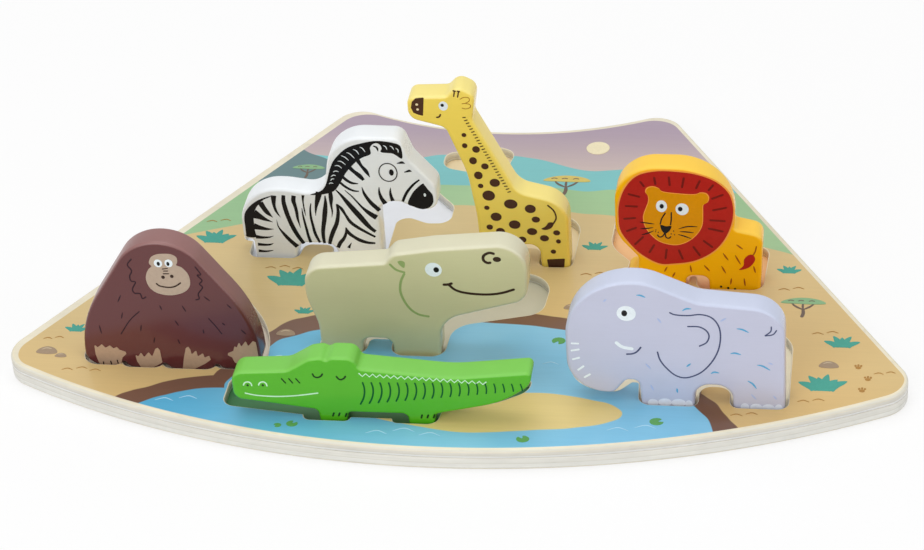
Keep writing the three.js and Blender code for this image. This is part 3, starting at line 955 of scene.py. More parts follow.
@dataclass(frozen=True)
class Outline:
    """A closed ring of corners, each with the radius of the arc that rounds it, in millimetres."""

    corners: tuple[Corner, ...]
    arc_step: float = math.radians(4)

    def edges(self) -> list[tuple[Vector, Vector, float, float]]:
        """Measures the outline without its arcs.

        Returns:
            The directions before and after each corner, the length of the edge after it, and the turn.
        """
        found = []
        count = len(self.corners)
        for i, (x, y, _) in enumerate(self.corners):
            px, py, _ = self.corners[i - 1]
            nx, ny, _ = self.corners[(i + 1) % count]
            before, after = Vector((x - px, y - py)), Vector((nx - x, ny - y))
            length = after.length
            before.normalize()
            after.normalize()
            turn = math.atan2(before.x * after.y - before.y * after.x, before.dot(after))
            found.append((before, after, length, turn))
        return found

    def ring(self) -> list[Vector]:
        """Rounds the corners, with smaller arcs where two of them would meet.

        Returns:
            Points along the outline, counter-clockwise.
        """
        edges = self.edges()
        reach = [c[2] * math.tan(abs(e[3]) / 2) for c, e in zip(self.corners, edges)]
        limit = [1.0] * len(edges)
        for i, (_, _, length, _) in enumerate(edges):
            j = (i + 1) % len(edges)
            share = length / (reach[i] + reach[j])
            limit[i], limit[j] = min(limit[i], share), min(limit[j], share)
        points: list[Vector] = []
        for (x, y, radius), (before, _, _, turn), far, fit in zip(self.corners, edges, reach, limit):
            side = math.copysign(1.0, turn)
            start = Vector((x, y)) - before * (far * fit)
            inward = Vector((-before.y, before.x)) * side
            centre = start + inward * (radius * fit)
            first = math.atan2(-inward.y, -inward.x)
            points += arc(centre, radius * fit, first, turn, self.arc_step)
        return without_repeats(points)

    def grown(self, clearance: float, leg_room: float, belly_room: float, foot: float) -> "Outline":
        """The recess that the outline lies in.

        Args:
            clearance: room on every side.
            leg_room: further room to the right of each leg.
            belly_room: further room under each edge that runs along the belly to a leg.
            foot: height of the soles.

        Returns:
            The outline of the recess.
        """
        count = len(self.corners)
        standing = [abs(c[1] - foot) < SAME_LEVEL for c in self.corners]
        moves = []
        for i in range(count):
            here, ahead, beyond = (standing[(i + k) % count] for k in range(3))
            right_of_leg, belly = here and not ahead, beyond and not (here or ahead)
            moves.append(clearance + leg_room * right_of_leg + belly_room * belly)
        corners = []
        for i, ((x, y, radius), (before, after, _, turn)) in enumerate(zip(self.corners, self.edges())):
            a, b = Vector((before.y, -before.x)), Vector((after.y, -after.x))
            first, second = moves[i - 1], moves[i]
            span = a.x * b.y - a.y * b.x
            dx = (first * b.y - second * a.y) / span
            dy = (second * a.x - first * b.x) / span
            corners.append((x + dx, y + dy, radius + math.copysign(clearance, turn)))
        return Outline(tuple(corners), self.arc_step)


def without_repeats(points: list[Vector], least: float = 0.03) -> list[Vector]:
    """Leaves out each point that lies on the next one.

    Args:
        points: a closed ring.
        least: the distance below which two points count as one.

    Returns:
        The ring without repeats.
    """
    return [p for i, p in enumerate(points) if (p - points[(i + 1) % len(points)]).length > least]


def moved_in(points: list[Vector], distance: float) -> list[Vector]:
    """Moves each point of a counter-clockwise ring inwards, or outwards by a negative distance.

    Args:
        points: the ring.
        distance: how far its edges move.

    Returns:
        A ring of as many points.
    """
    result = []
    for i, point in enumerate(points):
        before = (point - points[i - 1]).normalized()
        after = (points[(i + 1) % len(points)] - point).normalized()
        normal = Vector((-before.y - after.y, before.x + after.x))
        normal /= normal.length_squared / 2
        result.append(point + normal * distance)
    return result


def flowing(points: Path, closed: bool, step: float = 0.45) -> list[Vector]:
    """Draws a smooth line through points.

    Args:
        points: the points in order.
        closed: whether the line returns to its start.
        step: the longest piece of the line, in millimetres.

    Returns:
        Points along the line.
    """
    knots = [Vector(p) for p in points]
    count = len(knots)
    line: list[Vector] = []
    for i in range(count if closed else count - 1):
        b, c = knots[i], knots[(i + 1) % count]
        a = knots[i - 1] if closed or i > 0 else b * 2 - c
        d = knots[(i + 2) % count] if closed or i + 2 < count else c * 2 - b
        parts = max(2, math.ceil((c - b).length / step))
        for k in range(parts):
            t = k / parts
            line.append(
                b
                + (c - a) * (t / 2)
                + (a * 2 - b * 5 + c * 4 - d) * (t * t / 2)
                + (b * 3 - a - c * 3 + d) * (t * t * t / 2)
            )
    return line if closed else line + [knots[-1]]


def travelled(line: list[Vector]) -> list[float]:
    """The way from the start of a line to each of its points."""
    return list(accumulate(((b - a).length for a, b in zip(line, line[1:])), initial=0.0))


def capped(line: list[Vector], half: float) -> list[Vector]:
    """Sets the points close together at both ends of a line, where a stroke is rounded.

    Args:
        line: the line.
        half: half the width of the stroke.

    Returns:
        The line with new points at its ends.
    """
    travel = travelled(line)
    total = travel[-1]
    near = [half * share for share in (0.0, 0.06, 0.25, 0.55, 1.0)]
    inner = [s for s in travel if half < s < total - half]
    points = []
    for s in near + inner + [total - s for s in reversed(near)]:
        k = min(max(bisect_left(travel, s), 1), len(line) - 1)
        share = (s - travel[k - 1]) / (travel[k] - travel[k - 1])
        points.append(line[k - 1].lerp(line[k], min(max(share, 0.0), 1.0)))
    return points


def add_ring(mesh: Mesh, points: list[Vector]) -> Edges:
    """Adds a closed ring of edges.

    Args:
        mesh: the mesh to add to.
        points: the ring's points in space.

    Returns:
        The edges of the ring.
    """
    verts = [mesh.verts.new(p) for p in points]
    return [mesh.edges.new((verts[i - 1], v)) for i, v in enumerate(verts)]


def lift_faces(mesh: Mesh, faces: Faces, way: Vector) -> None:
    """Gives flat faces a thickness.

    Args:
        mesh: the mesh that holds them.
        faces: the faces.
        way: how far and where their copies go.
    """
    made = bmesh.ops.extrude_face_region(mesh, geom=faces)["geom"]
    bmesh.ops.translate(mesh, verts=[g for g in made if isinstance(g, bmesh.types.BMVert)], vec=way)
    bmesh.ops.recalc_face_normals(mesh, faces=mesh.faces)


def round_edges(mesh: Mesh, edges: Edges, radius: float, steps: int = EDGE_STEPS) -> None:
    """Rounds edges over.

    Args:
        mesh: the mesh that holds them.
        edges: the edges.
        radius: how far the rounding reaches.
        steps: how many faces make it.
    """
    bmesh.ops.bevel(
        mesh,
        geom=edges,
        offset=radius,
        offset_type="OFFSET",
        segments=steps,
        profile=0.5,
        affect="EDGES",
        clamp_overlap=False,
        material=-1,
    )


def piece_of(mesh: Mesh, name: str, body: str, finish: Material) -> bpy.types.Object:
    """Turns a mesh into a piece of the object.

    Args:
        mesh: the mesh, in metres in the shared frame.
        name: the piece's name.
        body: the body that it moves with.
        finish: its material.

    Returns:
        The piece.
    """
    data = bpy.data.meshes.new(name)
    mesh.to_mesh(data)
    mesh.free()
    data.materials.append(finish)
    piece = bpy.data.objects.new(name, data)
    bpy.context.scene.collection.objects.link(piece)
    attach(piece, body)
    log.info("%s: %d faces on %s", name, len(data.polygons), body)
    return piece


@dataclass(frozen=True)
class InkFinish:
    """Printing ink under the clear lacquer of the painted wood."""

    ink: Ink

    def material(self) -> Material:
        """Makes the ink's material once.

        Returns:
            The material, also where it was there before.
        """
        name = f"ink_{self.ink.name.lower()}"
        if name in bpy.data.materials:
            return bpy.data.materials[name]
        graph = Graph(name)
        place = graph.place()
        cover = graph.noise(place, 800, 3, 0.6)
        colour = graph.shade(linear(self.ink.value), cover * 0.2 + 0.9)
        pores = graph.noise(place, 2600, 2)
        sheen = {"coat": 0.05, "coat_roughness": 0.2, "specular": 0.12}
        return graph.finish(colour, cover * 0.12 + 0.18, pores, depth=4e-6, **sheen)


@dataclass(frozen=True)
class Paint:
    """Lacquered paint of one animal, with painted light: paler where its surface faces up, and duller there.
    """

    name: str
    # top: the paint's colour lightened by painted light from above, shown where the surface faces up.
    top: str
    face: str
    specular: float = 0.45
    lacquer: float = 0.1

    def material(self) -> Material:
        """Mixes the colour and relief of the paint.

        Returns:
            The material.
        """
        graph = Graph(f"paint_{self.name}")
        place = graph.place()
        spray = graph.noise(place, 1100, 3, 0.6)
        upward = graph.node("ShaderNodeAttribute", {"attribute_name": LOOKS_UP}, output="Fac")
        # Painted light from above: the paint turns paler where the surface faces up; the same mask makes it
        # duller and less lacquered.
        painted_top_light_and_dullness = (upward + (spray - 0.5) * 0.08).ramp(0.12, 0.68)
        clouds = graph.noise(place, 45, 3)
        grain = graph.noise(graph.stretch(place, (90, 90, 1500)), 1, 3, 0.6)
        tint = graph.mix(painted_top_light_and_dullness, linear(self.face), linear(self.top))
        colour = graph.shade(tint, clouds * 0.07 + grain * 0.05 + 0.94)
        roughness = clouds * 0.06 + spray * 0.1 + painted_top_light_and_dullness * 0.16 + 0.14
        relief = spray * 0.7 + grain * 0.3
        lacquer = (1 - painted_top_light_and_dullness) * self.lacquer
        sheen = {"coat": lacquer, "coat_roughness": 0.18, "specular": self.specular}
        return graph.finish(colour, roughness, relief, depth=8e-6, **sheen)


@dataclass(frozen=True)
class BarePly:
    """Sanded plywood: pale face veneers, and the layers that show on its edges by their height."""

    name: str
    bands: tuple[tuple[float, str], ...]
    thickness: float

    def wood(self, graph: Graph) -> tuple[Value, Value]:
        """Adds the wood's colour and relief to a graph.

        Args:
            graph: the tree to add to.

        Returns:
            The colour and the relief.
        """
        place = graph.place()
        _, _, z = graph.axes(place)
        ripple = graph.noise(graph.stretch(place, (18, 18, 18)), 1, 2)
        height = z / (self.thickness * MM) + (ripple - 0.5) * 0.03
        stops = [(level / self.thickness, linear(code)) for level, code in self.bands]
        layers = graph.node("ShaderNodeValToRGB", {"stops": stops}, {0: height})
        streaks = graph.noise(graph.stretch(place, (28, 28, 1500)), 1, 4, 0.65)
        grain = graph.noise(graph.stretch(place, (14, 420, 60)), 1, 3, 0.6)
        pores = graph.noise(graph.stretch(place, (160, 160, 2400)), 1, 2)
        flecks = pores.ramp(0.62, 0.74)
        blotches = graph.noise(graph.stretch(place, (70, 70, 400)), 1, 3)
        tone = streaks * 0.26 + grain * 0.14 + blotches * 0.14 - flecks * 0.07 + 0.7
        return graph.shade(layers, tone), streaks * 0.6 + pores * 0.4

    def material(self) -> Material:
        """Mixes the colour and relief of the wood.

        Returns:
            The material.
        """
        graph = Graph(self.name)
        colour, relief = self.wood(graph)
        return graph.finish(colour, relief * 0.2 + 0.42, relief, depth=25e-6, coat=0.12, coat_roughness=0.3)


@dataclass(frozen=True)
class Savanna:
    """The landscape printed on the tray: sand, a waterhole, a green plain, hills and an evening sky."""

    ply: BarePly
    board: "Board"
    soft: float = 0.25
    margin: float = 3.2
    margin_soft: float = 0.12
    slip: Point = (1.2, -0.9)
    front_gain: float = 0.7
    back_gain: float = 1.5
    sand: str = "d6c08a"
    sand_deep: str = "d8b574"
    bank: str = "74523f"
    shoal: str = "e3cb84"
    water: str = "86c7e5"
    water_deep: str = "57b1d8"
    plain: str = "a9cf9c"
    plain_deep: str = "94bf8c"
    hill: str = "79c4c6"
    slope: str = "5f7f82"
    sky_low: str = "cfbdb4"
    sky_high: str = "ab98a9"
    pools: tuple[tuple[Point, Point], ...] = (
        ((6.0, -357.0), (96.0, 52.0)),
        ((78.0, -382.0), (40.0, 28.0)),
        ((-78.0, -393.0), (62.0, 29.0)),
    )
    sandbar: tuple[Point, Point] = ((8.0, -371.0), (70.0, 15.0))
    bank_width: float = 8.5

    def rim_distance(self, x: Value, y: Value) -> Value:
        """Distance outside the board's outline, grown a little at the front and back, less than zero inside.

        Args:
            x: across, from the arcs' centre, in millimetres.
            y: towards the back.

        Returns:
            The distance in millimetres.
        """
        board = self.board
        radius = (x * x + y * y).root()
        front, back = board.front_arc + self.front_gain, board.back_arc - self.back_gain
        along = (radius - front).most(back - radius)
        sine, cosine = math.sin(board.half_angle), math.cos(board.half_angle)
        beside = x.absolute() * cosine + y * sine
        corner = board.front_corner
        first, second = along + corner, beside + corner
        outer = first.most(0.0) * first.most(0.0) + second.most(0.0) * second.most(0.0)
        return first.most(second).least(0.0) + outer.root() - corner

    @staticmethod
    def pool_distance(x: Value, y: Value, centre: Point, half: Point) -> Value:
        """Distance outside an oval pool, less than zero on the water.

        Args:
            x: across, in millimetres.
            y: towards the back.
            centre: the pool's middle.
            half: half its width and half its depth.

        Returns:
            The distance in millimetres.
        """
        dx, dy = (x - centre[0]) / half[0], (y - centre[1]) / half[1]
        reach = (dx * dx + dy * dy).root()
        slope = (dx * dx / half[0] ** 2 + dy * dy / half[1] ** 2).root()
        return reach * (reach - 1.0) / (slope + 1e-4)

    def material(self) -> Material:
        """Mixes the colour and relief of the printed face.

        Returns:
            The material.
        """
        graph = Graph("savanna_print")
        place = graph.place()
        px, py, _ = graph.axes(place)
        x, y = px / MM, py / MM - self.board.shift
        broad = graph.noise(place, 9, 2)
        wander = graph.noise(place, 28, 2)
        crest = graph.noise(graph.join(px, 0.0, 0.3), 26, 1.5)
        ridge = graph.noise(graph.join(px, 0.0, 0.9), 15, 2)

        sky = graph.mix(y.ramp(-200, -146), linear(self.sky_low), linear(self.sky_high))
        far = graph.mix((y + 202 - ridge * 46).above(0.0, self.soft), linear(self.hill), sky)
        left = (y + 212 + (x + 34) * 0.62 - (wander - 0.5) * 10).above(0.0, self.soft)
        near = graph.mix(left, linear(self.slope), far)
        green = graph.mix(broad.ramp(0.35, 0.65), linear(self.plain), linear(self.plain_deep))
        meadow = graph.mix((y + 203 - (crest - 0.5) * 14).above(0.0, self.soft), green, near)
        depth = y.ramp(-395, -240, 1.0, 0.0) * 0.6 + broad.ramp(0.3, 0.7) * 0.4
        ground = graph.mix(depth, linear(self.sand), linear(self.sand_deep))
        edge = y + 219 + x * x * 0.0016 - (crest - 0.5) * 8
        land = graph.mix(edge.above(0.0, self.soft), ground, meadow)

        bend_x, bend_y = x + (wander - 0.5) * 26, y + (broad - 0.5) * 30
        main, inlet, arm = (self.pool_distance(bend_x, bend_y, *pool) for pool in self.pools)
        shoal = self.pool_distance(bend_x, bend_y, *self.sandbar)
        shore = main.least(inlet).least(arm)
        banked = graph.mix(shore.above(self.bank_width, self.soft), linear(self.bank), land)
        paler = x.ramp(-125, 20) * 0.75 + wander.ramp(0.35, 0.7) * 0.25
        blue = graph.mix(paler, linear(self.water_deep), linear(self.water))
        pond = graph.mix(shoal.above(0.0, self.soft), linear(self.shoal), blue)
        scene = graph.mix(shore.above(0.0, self.soft), pond, banked)

        wood, relief = self.ply.wood(graph)
        fibre = graph.noise(graph.stretch(place, (30, 900, 30)), 1, 3, 0.65)
        inked = graph.shade(scene, fibre * 0.1 + 0.95)
        bare = self.rim_distance(x - self.slip[0], y - self.slip[1]).above(-self.margin, self.margin_soft)
        colour = graph.mix(bare, inked, wood)
        roughness = fibre * 0.14 + bare * 0.1 + 0.26
        height = fibre * 0.6 + relief * 0.4
        return graph.finish(colour, roughness, height, depth=10e-6, coat=0.35, coat_roughness=0.16)


@dataclass(frozen=True)
class RecessFloors:
    """The base board's upper face, tinted inside each recess like the animal that belongs there."""

    ply: BarePly
    tints: tuple[tuple[Point, Point, str], ...]
    from_height: float = 6.3
    border: float = 0.01

    def material(self) -> Material:
        """Mixes the colour and relief of the floors.

        Returns:
            The material.
        """
        graph = Graph("recess_floors")
        place = graph.place()
        x, y, z = graph.axes(place)
        colour, relief = self.ply.wood(graph)
        soft = self.border * MM
        inside = z.above(self.from_height * MM, soft)
        for (x0, y0), (x1, y1), code in self.tints:
            across = x.above(x0 * MM, soft) * (1 - x.above(x1 * MM, soft))
            deep = y.above(y0 * MM, soft) * (1 - y.above(y1 * MM, soft))
            tint = graph.shade(linear(code), relief * 0.12 + 0.94)
            colour = graph.mix(inside * across * deep, colour, tint)
        return graph.finish(colour, relief * 0.2 + 0.4, relief, depth=20e-6, coat=0.15, coat_roughness=0.3)


@dataclass(frozen=True)
class Printer:
    """Lays drawings on a flat face as thin films of ink."""

    name: str
    body: str
    slot: str
    origin: Vector
    across: Vector
    up: Vector
    sunk: float = 0.01
    layer_height: float = 0.045
    shape_height: float = 0.001
    least_width: float = 0.024
    crisp_radius: float = 0.35
    crisp_step: float = math.radians(15)
    dot_sides: int = 32

    def outward(self) -> Vector:
        """The way that the face looks."""
        return self.across.cross(self.up)

    def at(self, point: Vector) -> Vector:
        """Where a point of the drawing lies, just under the face."""
        flat = self.across * point.x + self.up * point.y - self.outward() * self.sunk
        return self.origin + flat * MM

    def pull(self, mesh: Mesh, line: list[Vector], widths: list[float]) -> None:
        """Pulls an edge along a line, which leaves a flat band behind it.

        Args:
            mesh: the film to add to.
            line: the middle of the band.
            widths: its width at each point of the line.
        """
        edge = left = None
        for i, (here, width) in enumerate(zip(line, widths)):
            way = (line[min(i + 1, len(line) - 1)] - line[max(i - 1, 0)]).normalized()
            side = Vector((-way.y, way.x)) * max(width, self.least_width) / 2
            ends = self.at(here + side), self.at(here - side)
            if edge is None:
                left, right = mesh.verts.new(ends[0]), mesh.verts.new(ends[1])
            else:
                made = bmesh.ops.extrude_edge_only(mesh, edges=[edge])["geom"]
                pair = [g for g in made if isinstance(g, bmesh.types.BMVert)]
                left, right = sorted(pair, key=lambda v: (v.co - left.co).length)
                left.co, right.co = ends
            edge = mesh.edges.get((left, right)) or mesh.edges.new((left, right))

    def add_stroke(self, mesh: Mesh, stroke: Stroke) -> None:
        """Draws a stroke.

        Args:
            mesh: the film to add to.
            stroke: the stroke.
        """
        line = [Vector(p) for p in stroke.path] if stroke.ends is Ends.MITRED else flowing(stroke.path, False)
        if stroke.ends is Ends.ROUND:
            line = capped(line, stroke.width / 2)
        travel = travelled(line)
        self.pull(mesh, line, [stroke.width_at(s, travel[-1]) for s in travel])

    def add_band(self, mesh: Mesh, band: Band) -> None:
        """Draws a stripe whose width changes along its path.

        Args:
            mesh: the film to add to.
            band: the stripe.
        """
        line = flowing(band.path, False)
        self.pull(mesh, [p.to_2d() for p in line], [p.z for p in line])

    def add_patch(self, mesh: Mesh, patch: Patch) -> None:
        """Fills the border of a patch.

        Args:
            mesh: the film to add to.
            patch: the patch.
        """
        if patch.turn is Turn.CRISP:
            corners = tuple((x, y, self.crisp_radius) for x, y in patch.border)
            border = Outline(corners, self.crisp_step).ring()
        else:
            border = flowing(patch.border, True)
        bmesh.ops.contextual_create(mesh, geom=add_ring(mesh, [self.at(p) for p in border]))

    def add_dot(self, mesh: Mesh, dot: Dot) -> None:
        """Fills an ellipse.

        Args:
            mesh: the film to add to.
            dot: the ellipse.
        """
        axes = Matrix((self.across * dot.across, self.up * dot.up, self.outward())).transposed() * MM
        matrix = Matrix.Translation(self.at(Vector(dot.centre))) @ axes.to_4x4()
        bmesh.ops.create_circle(mesh, cap_ends=True, segments=self.dot_sides, radius=1.0, matrix=matrix)

    def lay(self, drawing: Drawing) -> None:
        """Prints a drawing, one film for each ink and layer.

        Args:
            drawing: the shapes in the order in which they lie on each other.
        """
        ways = {Stroke: self.add_stroke, Band: self.add_band, Patch: self.add_patch, Dot: self.add_dot}
        films: dict[tuple[Ink, int], Mesh] = {}
        for count, shape in enumerate(drawing):
            mesh = films.setdefault((shape.ink, shape.layer), bmesh.new())
            there = set(mesh.faces)
            ways[type(shape)](mesh, shape)
            height = self.sunk + self.layer_height * shape.layer + self.shape_height * count
            lift_faces(mesh, [f for f in mesh.faces if f not in there], self.outward() * height * MM)
        for (ink, layer), mesh in films.items():
            name = f"{self.name}_{ink.name.lower()}_{layer}"
            piece_of(mesh, name, self.body, InkFinish(ink).material())


@dataclass(frozen=True)
class Tuft:
    """A tuft of grass whose blades fan out from one foot."""

    foot: Point
    reach: float
    blades: int = 6

    def shapes(self) -> list[Shape]:
        """Draws the tuft.

        Returns:
            The blades, from left to right.
        """
        x, y = self.foot
        made: list[Shape] = []
        for i in range(self.blades):
            lean = 2 * i / (self.blades - 1) - 1
            tall = self.reach * (1 - 0.4 * lean * lean) * (1.0 if i % 2 else 0.8)
            rise = ((0.3, 0.0), (0.42, 0.55), (0.85, 1.0))
            path = tuple((x + lean * self.reach * out, y + tall * up) for out, up in rise)
            made.append(Stroke(Ink.TEAL, 1, self.reach * 0.36, path, Ends.LEAF))
        return made


@dataclass(frozen=True)
class Acacia:
    """A flat-topped tree with a forked trunk."""

    foot: Point
    height: float
    crown: Ink

    def at(self, *points: Point) -> Path:
        """Points of the tree, given as shares of its height from its foot."""
        return tuple((self.foot[0] + x * self.height, self.foot[1] + y * self.height) for x, y in points)

    def shapes(self) -> list[Shape]:
        """Draws the tree.

        Returns:
            The trunk, its branches and the crown over them.
        """
        width = self.height * 0.1
        fork = (0.03, 0.38)
        lower = ((0.56, 0.84), (0.66, 0.7), (0.3, 0.66), (-0.2, 0.67))
        border = self.at((-0.62, 0.7), (-0.46, 0.86), (-0.12, 0.96), (0.24, 0.95), *lower)
        trunk = Stroke(Ink.BARK, 1, width, self.at((0, 0), (0.04, 0.2), fork))
        branches = [self.at(fork, (x * 0.6, 0.56), (x, 0.8)) for x in (-0.36, 0.02, 0.4)]
        marks = [self.at((x - 0.08, 0.79), (x, 0.83), (x + 0.09, 0.8)) for x in (-0.34, -0.05, 0.26)]
        made: list[Shape] = [trunk, *strokes(Ink.BARK, 1, width * 0.7, *branches, ends=Ends.LEAF)]
        return [*made, Patch(self.crown, 2, border), *strokes(Ink.BARK, 3, width * 0.35, *marks)]


@dataclass(frozen=True)
class Rock:
    """A rounded stone with a light upper side."""

    centre: Point
    across: float

    def at(self, *points: Point) -> Path:
        """Points of the stone, given as shares of half its width from its centre."""
        x, y = self.centre
        return tuple((x + a * self.across / 2, y + b * self.across / 2) for a, b in points)

    def shapes(self) -> list[Shape]:
        """Draws the stone.

        Returns:
            Its body and the light on it.
        """
        lower = ((0.95, 0.15), (1, -0.35), (0, -0.5))
        border = self.at((-1, -0.3), (-0.8, 0.35), (-0.2, 0.72), (0.45, 0.6), *lower)
        light = self.at((-0.6, 0.2), (-0.15, 0.46), (0.4, 0.36))
        return [
            Patch(Ink.ROCK, 1, border),
            Stroke(Ink.ROCK_LIGHT, 2, self.across * 0.08, light, Ends.POINTED),
        ]


@dataclass(frozen=True)
class LilyPad:
    """A floating leaf with a notch."""

    centre: Point
    across: float
    turned: float

    def shapes(self) -> list[Shape]:
        """Draws the leaf.

        Returns:
            Its notched disc.
        """
        x, y = self.centre
        r = self.across / 2
        angles = [math.radians(self.turned + 22 + 316 * i / 12) for i in range(13)]
        round_part = tuple((x + r * math.cos(a), y + 0.8 * r * math.sin(a)) for a in angles)
        return [Patch(Ink.PAD, 1, (*round_part, (x, y)), Turn.CRISP)]


@dataclass(frozen=True)
class Crescents:
    """A few fine arcs beside each other: ripples on water or blown sand."""

    start: Point
    width: float
    count: int
    ink: Ink
    line: float = 0.42

    def shapes(self) -> list[Shape]:
        """Draws the arcs.

        Returns:
            The arcs, every other one a little higher.
        """
        x, y = self.start
        made: list[Shape] = []
        for i in range(self.count):
            left, high = x + i * self.width * 1.25, y + (i % 2) * self.width * 0.25
            middle = (left + self.width / 2, high + self.width * 0.22)
            path = ((left, high), middle, (left + self.width, high))
            made.append(Stroke(self.ink, 1, self.line, path, Ends.POINTED))
        return made


@dataclass(frozen=True)
class Tracks:
    """A trail of paw prints."""

    start: Point
    step: Point
    count: int

    def shapes(self) -> list[Shape]:
        """Draws the trail.

        Returns:
            A pad and three toes for each print.
        """
        made: list[Shape] = []
        for i in range(self.count):
            x = self.start[0] + i * self.step[0] + (1.6 if i % 2 else -1.6)
            y = self.start[1] + i * self.step[1]
            made.append(Dot(Ink.DUST, 1, (x, y), 1.15, 0.9))
            for toe in (-1.2, 0.0, 1.2):
                made.append(Dot(Ink.DUST, 1, (x + toe, y + 1.75 - abs(toe) * 0.35), 0.45, 0.55))
        return made


@dataclass(frozen=True)
class Sun:
    """A pale evening sun."""

    centre: Point
    across: float

    def shapes(self) -> list[Shape]:
        """The disc."""
        return [Dot(Ink.SUN, 1, self.centre, self.across / 2, self.across / 2)]


Motif = Union[Tuft, Acacia, Rock, LilyPad, Crescents, Tracks, Sun]


def scattered(kind: type, *places: tuple) -> list[Motif]:
    """Motifs of one kind, each by its own place and sizes."""
    return [kind(*place) for place in places]


MOTIFS: tuple[Motif, ...] = (
    *scattered(
        Tuft,
        ((-169, -327), 6.5, 5), ((-80, -287), 14.0), ((-122, -255), 11.0), ((159, -351), 12.0),
        ((53, -252), 7.0, 5), ((141, -266), 6.5, 5), ((-70, -308), 5.5, 5), ((166, -320), 9.0, 5),
    ),
    *scattered(
        Acacia,
        ((-90, -199), 12.0, Ink.SAGE), ((-62, -187), 14.0, Ink.STRAW), ((34, -208), 17.0, Ink.STRAW),
        ((94, -203), 13.0, Ink.SAGE), ((148, -299), 15.0, Ink.SAGE),
    ),
    *scattered(
        Rock,
        ((-178, -342), 9.0), ((-171, -345), 5.0), ((-75, -323), 8.0), ((161, -333), 8.0), ((48, -297), 7.0),
    ),
    *scattered(
        LilyPad,
        ((-60, -386.6), 5.0, 60), ((-66, -388), 3.4, 200), ((38, -391), 5.5, 120), ((92, -376), 6.0, 20),
        ((45, -322), 6.0, 250),
    ),
    *scattered(
        Crescents,
        ((-122, -374), 8.0, 2, Ink.FOAM), ((-28, -391), 9.0, 3, Ink.FOAM), ((72, -383), 9.0, 2, Ink.FOAM),
        ((40, -339), 7.0, 1, Ink.FOAM), ((-78, -341), 7.0, 1, Ink.FOAM), ((-168, -355), 5.0, 3, Ink.DUST),
        ((-167, -306), 5.0, 2, Ink.DUST), ((-182, -333), 4.0, 2, Ink.DUST), ((-94, -274), 5.0, 3, Ink.DUST),
        ((-129, -238), 5.0, 2, Ink.DUST), ((149, -359), 5.0, 2, Ink.DUST), ((180, -338), 4.0, 2, Ink.DUST),
        ((153, -311), 5.0, 2, Ink.DUST), ((122, -370), 5.0, 2, Ink.DUST), ((137, -279), 5.0, 2, Ink.DUST),
        ((49, -272), 5.0, 2, Ink.DUST),
    ),
    Tracks((177, -350), (-1.0, 8.0), 3),
    Sun((46, -167), 11.0),
)


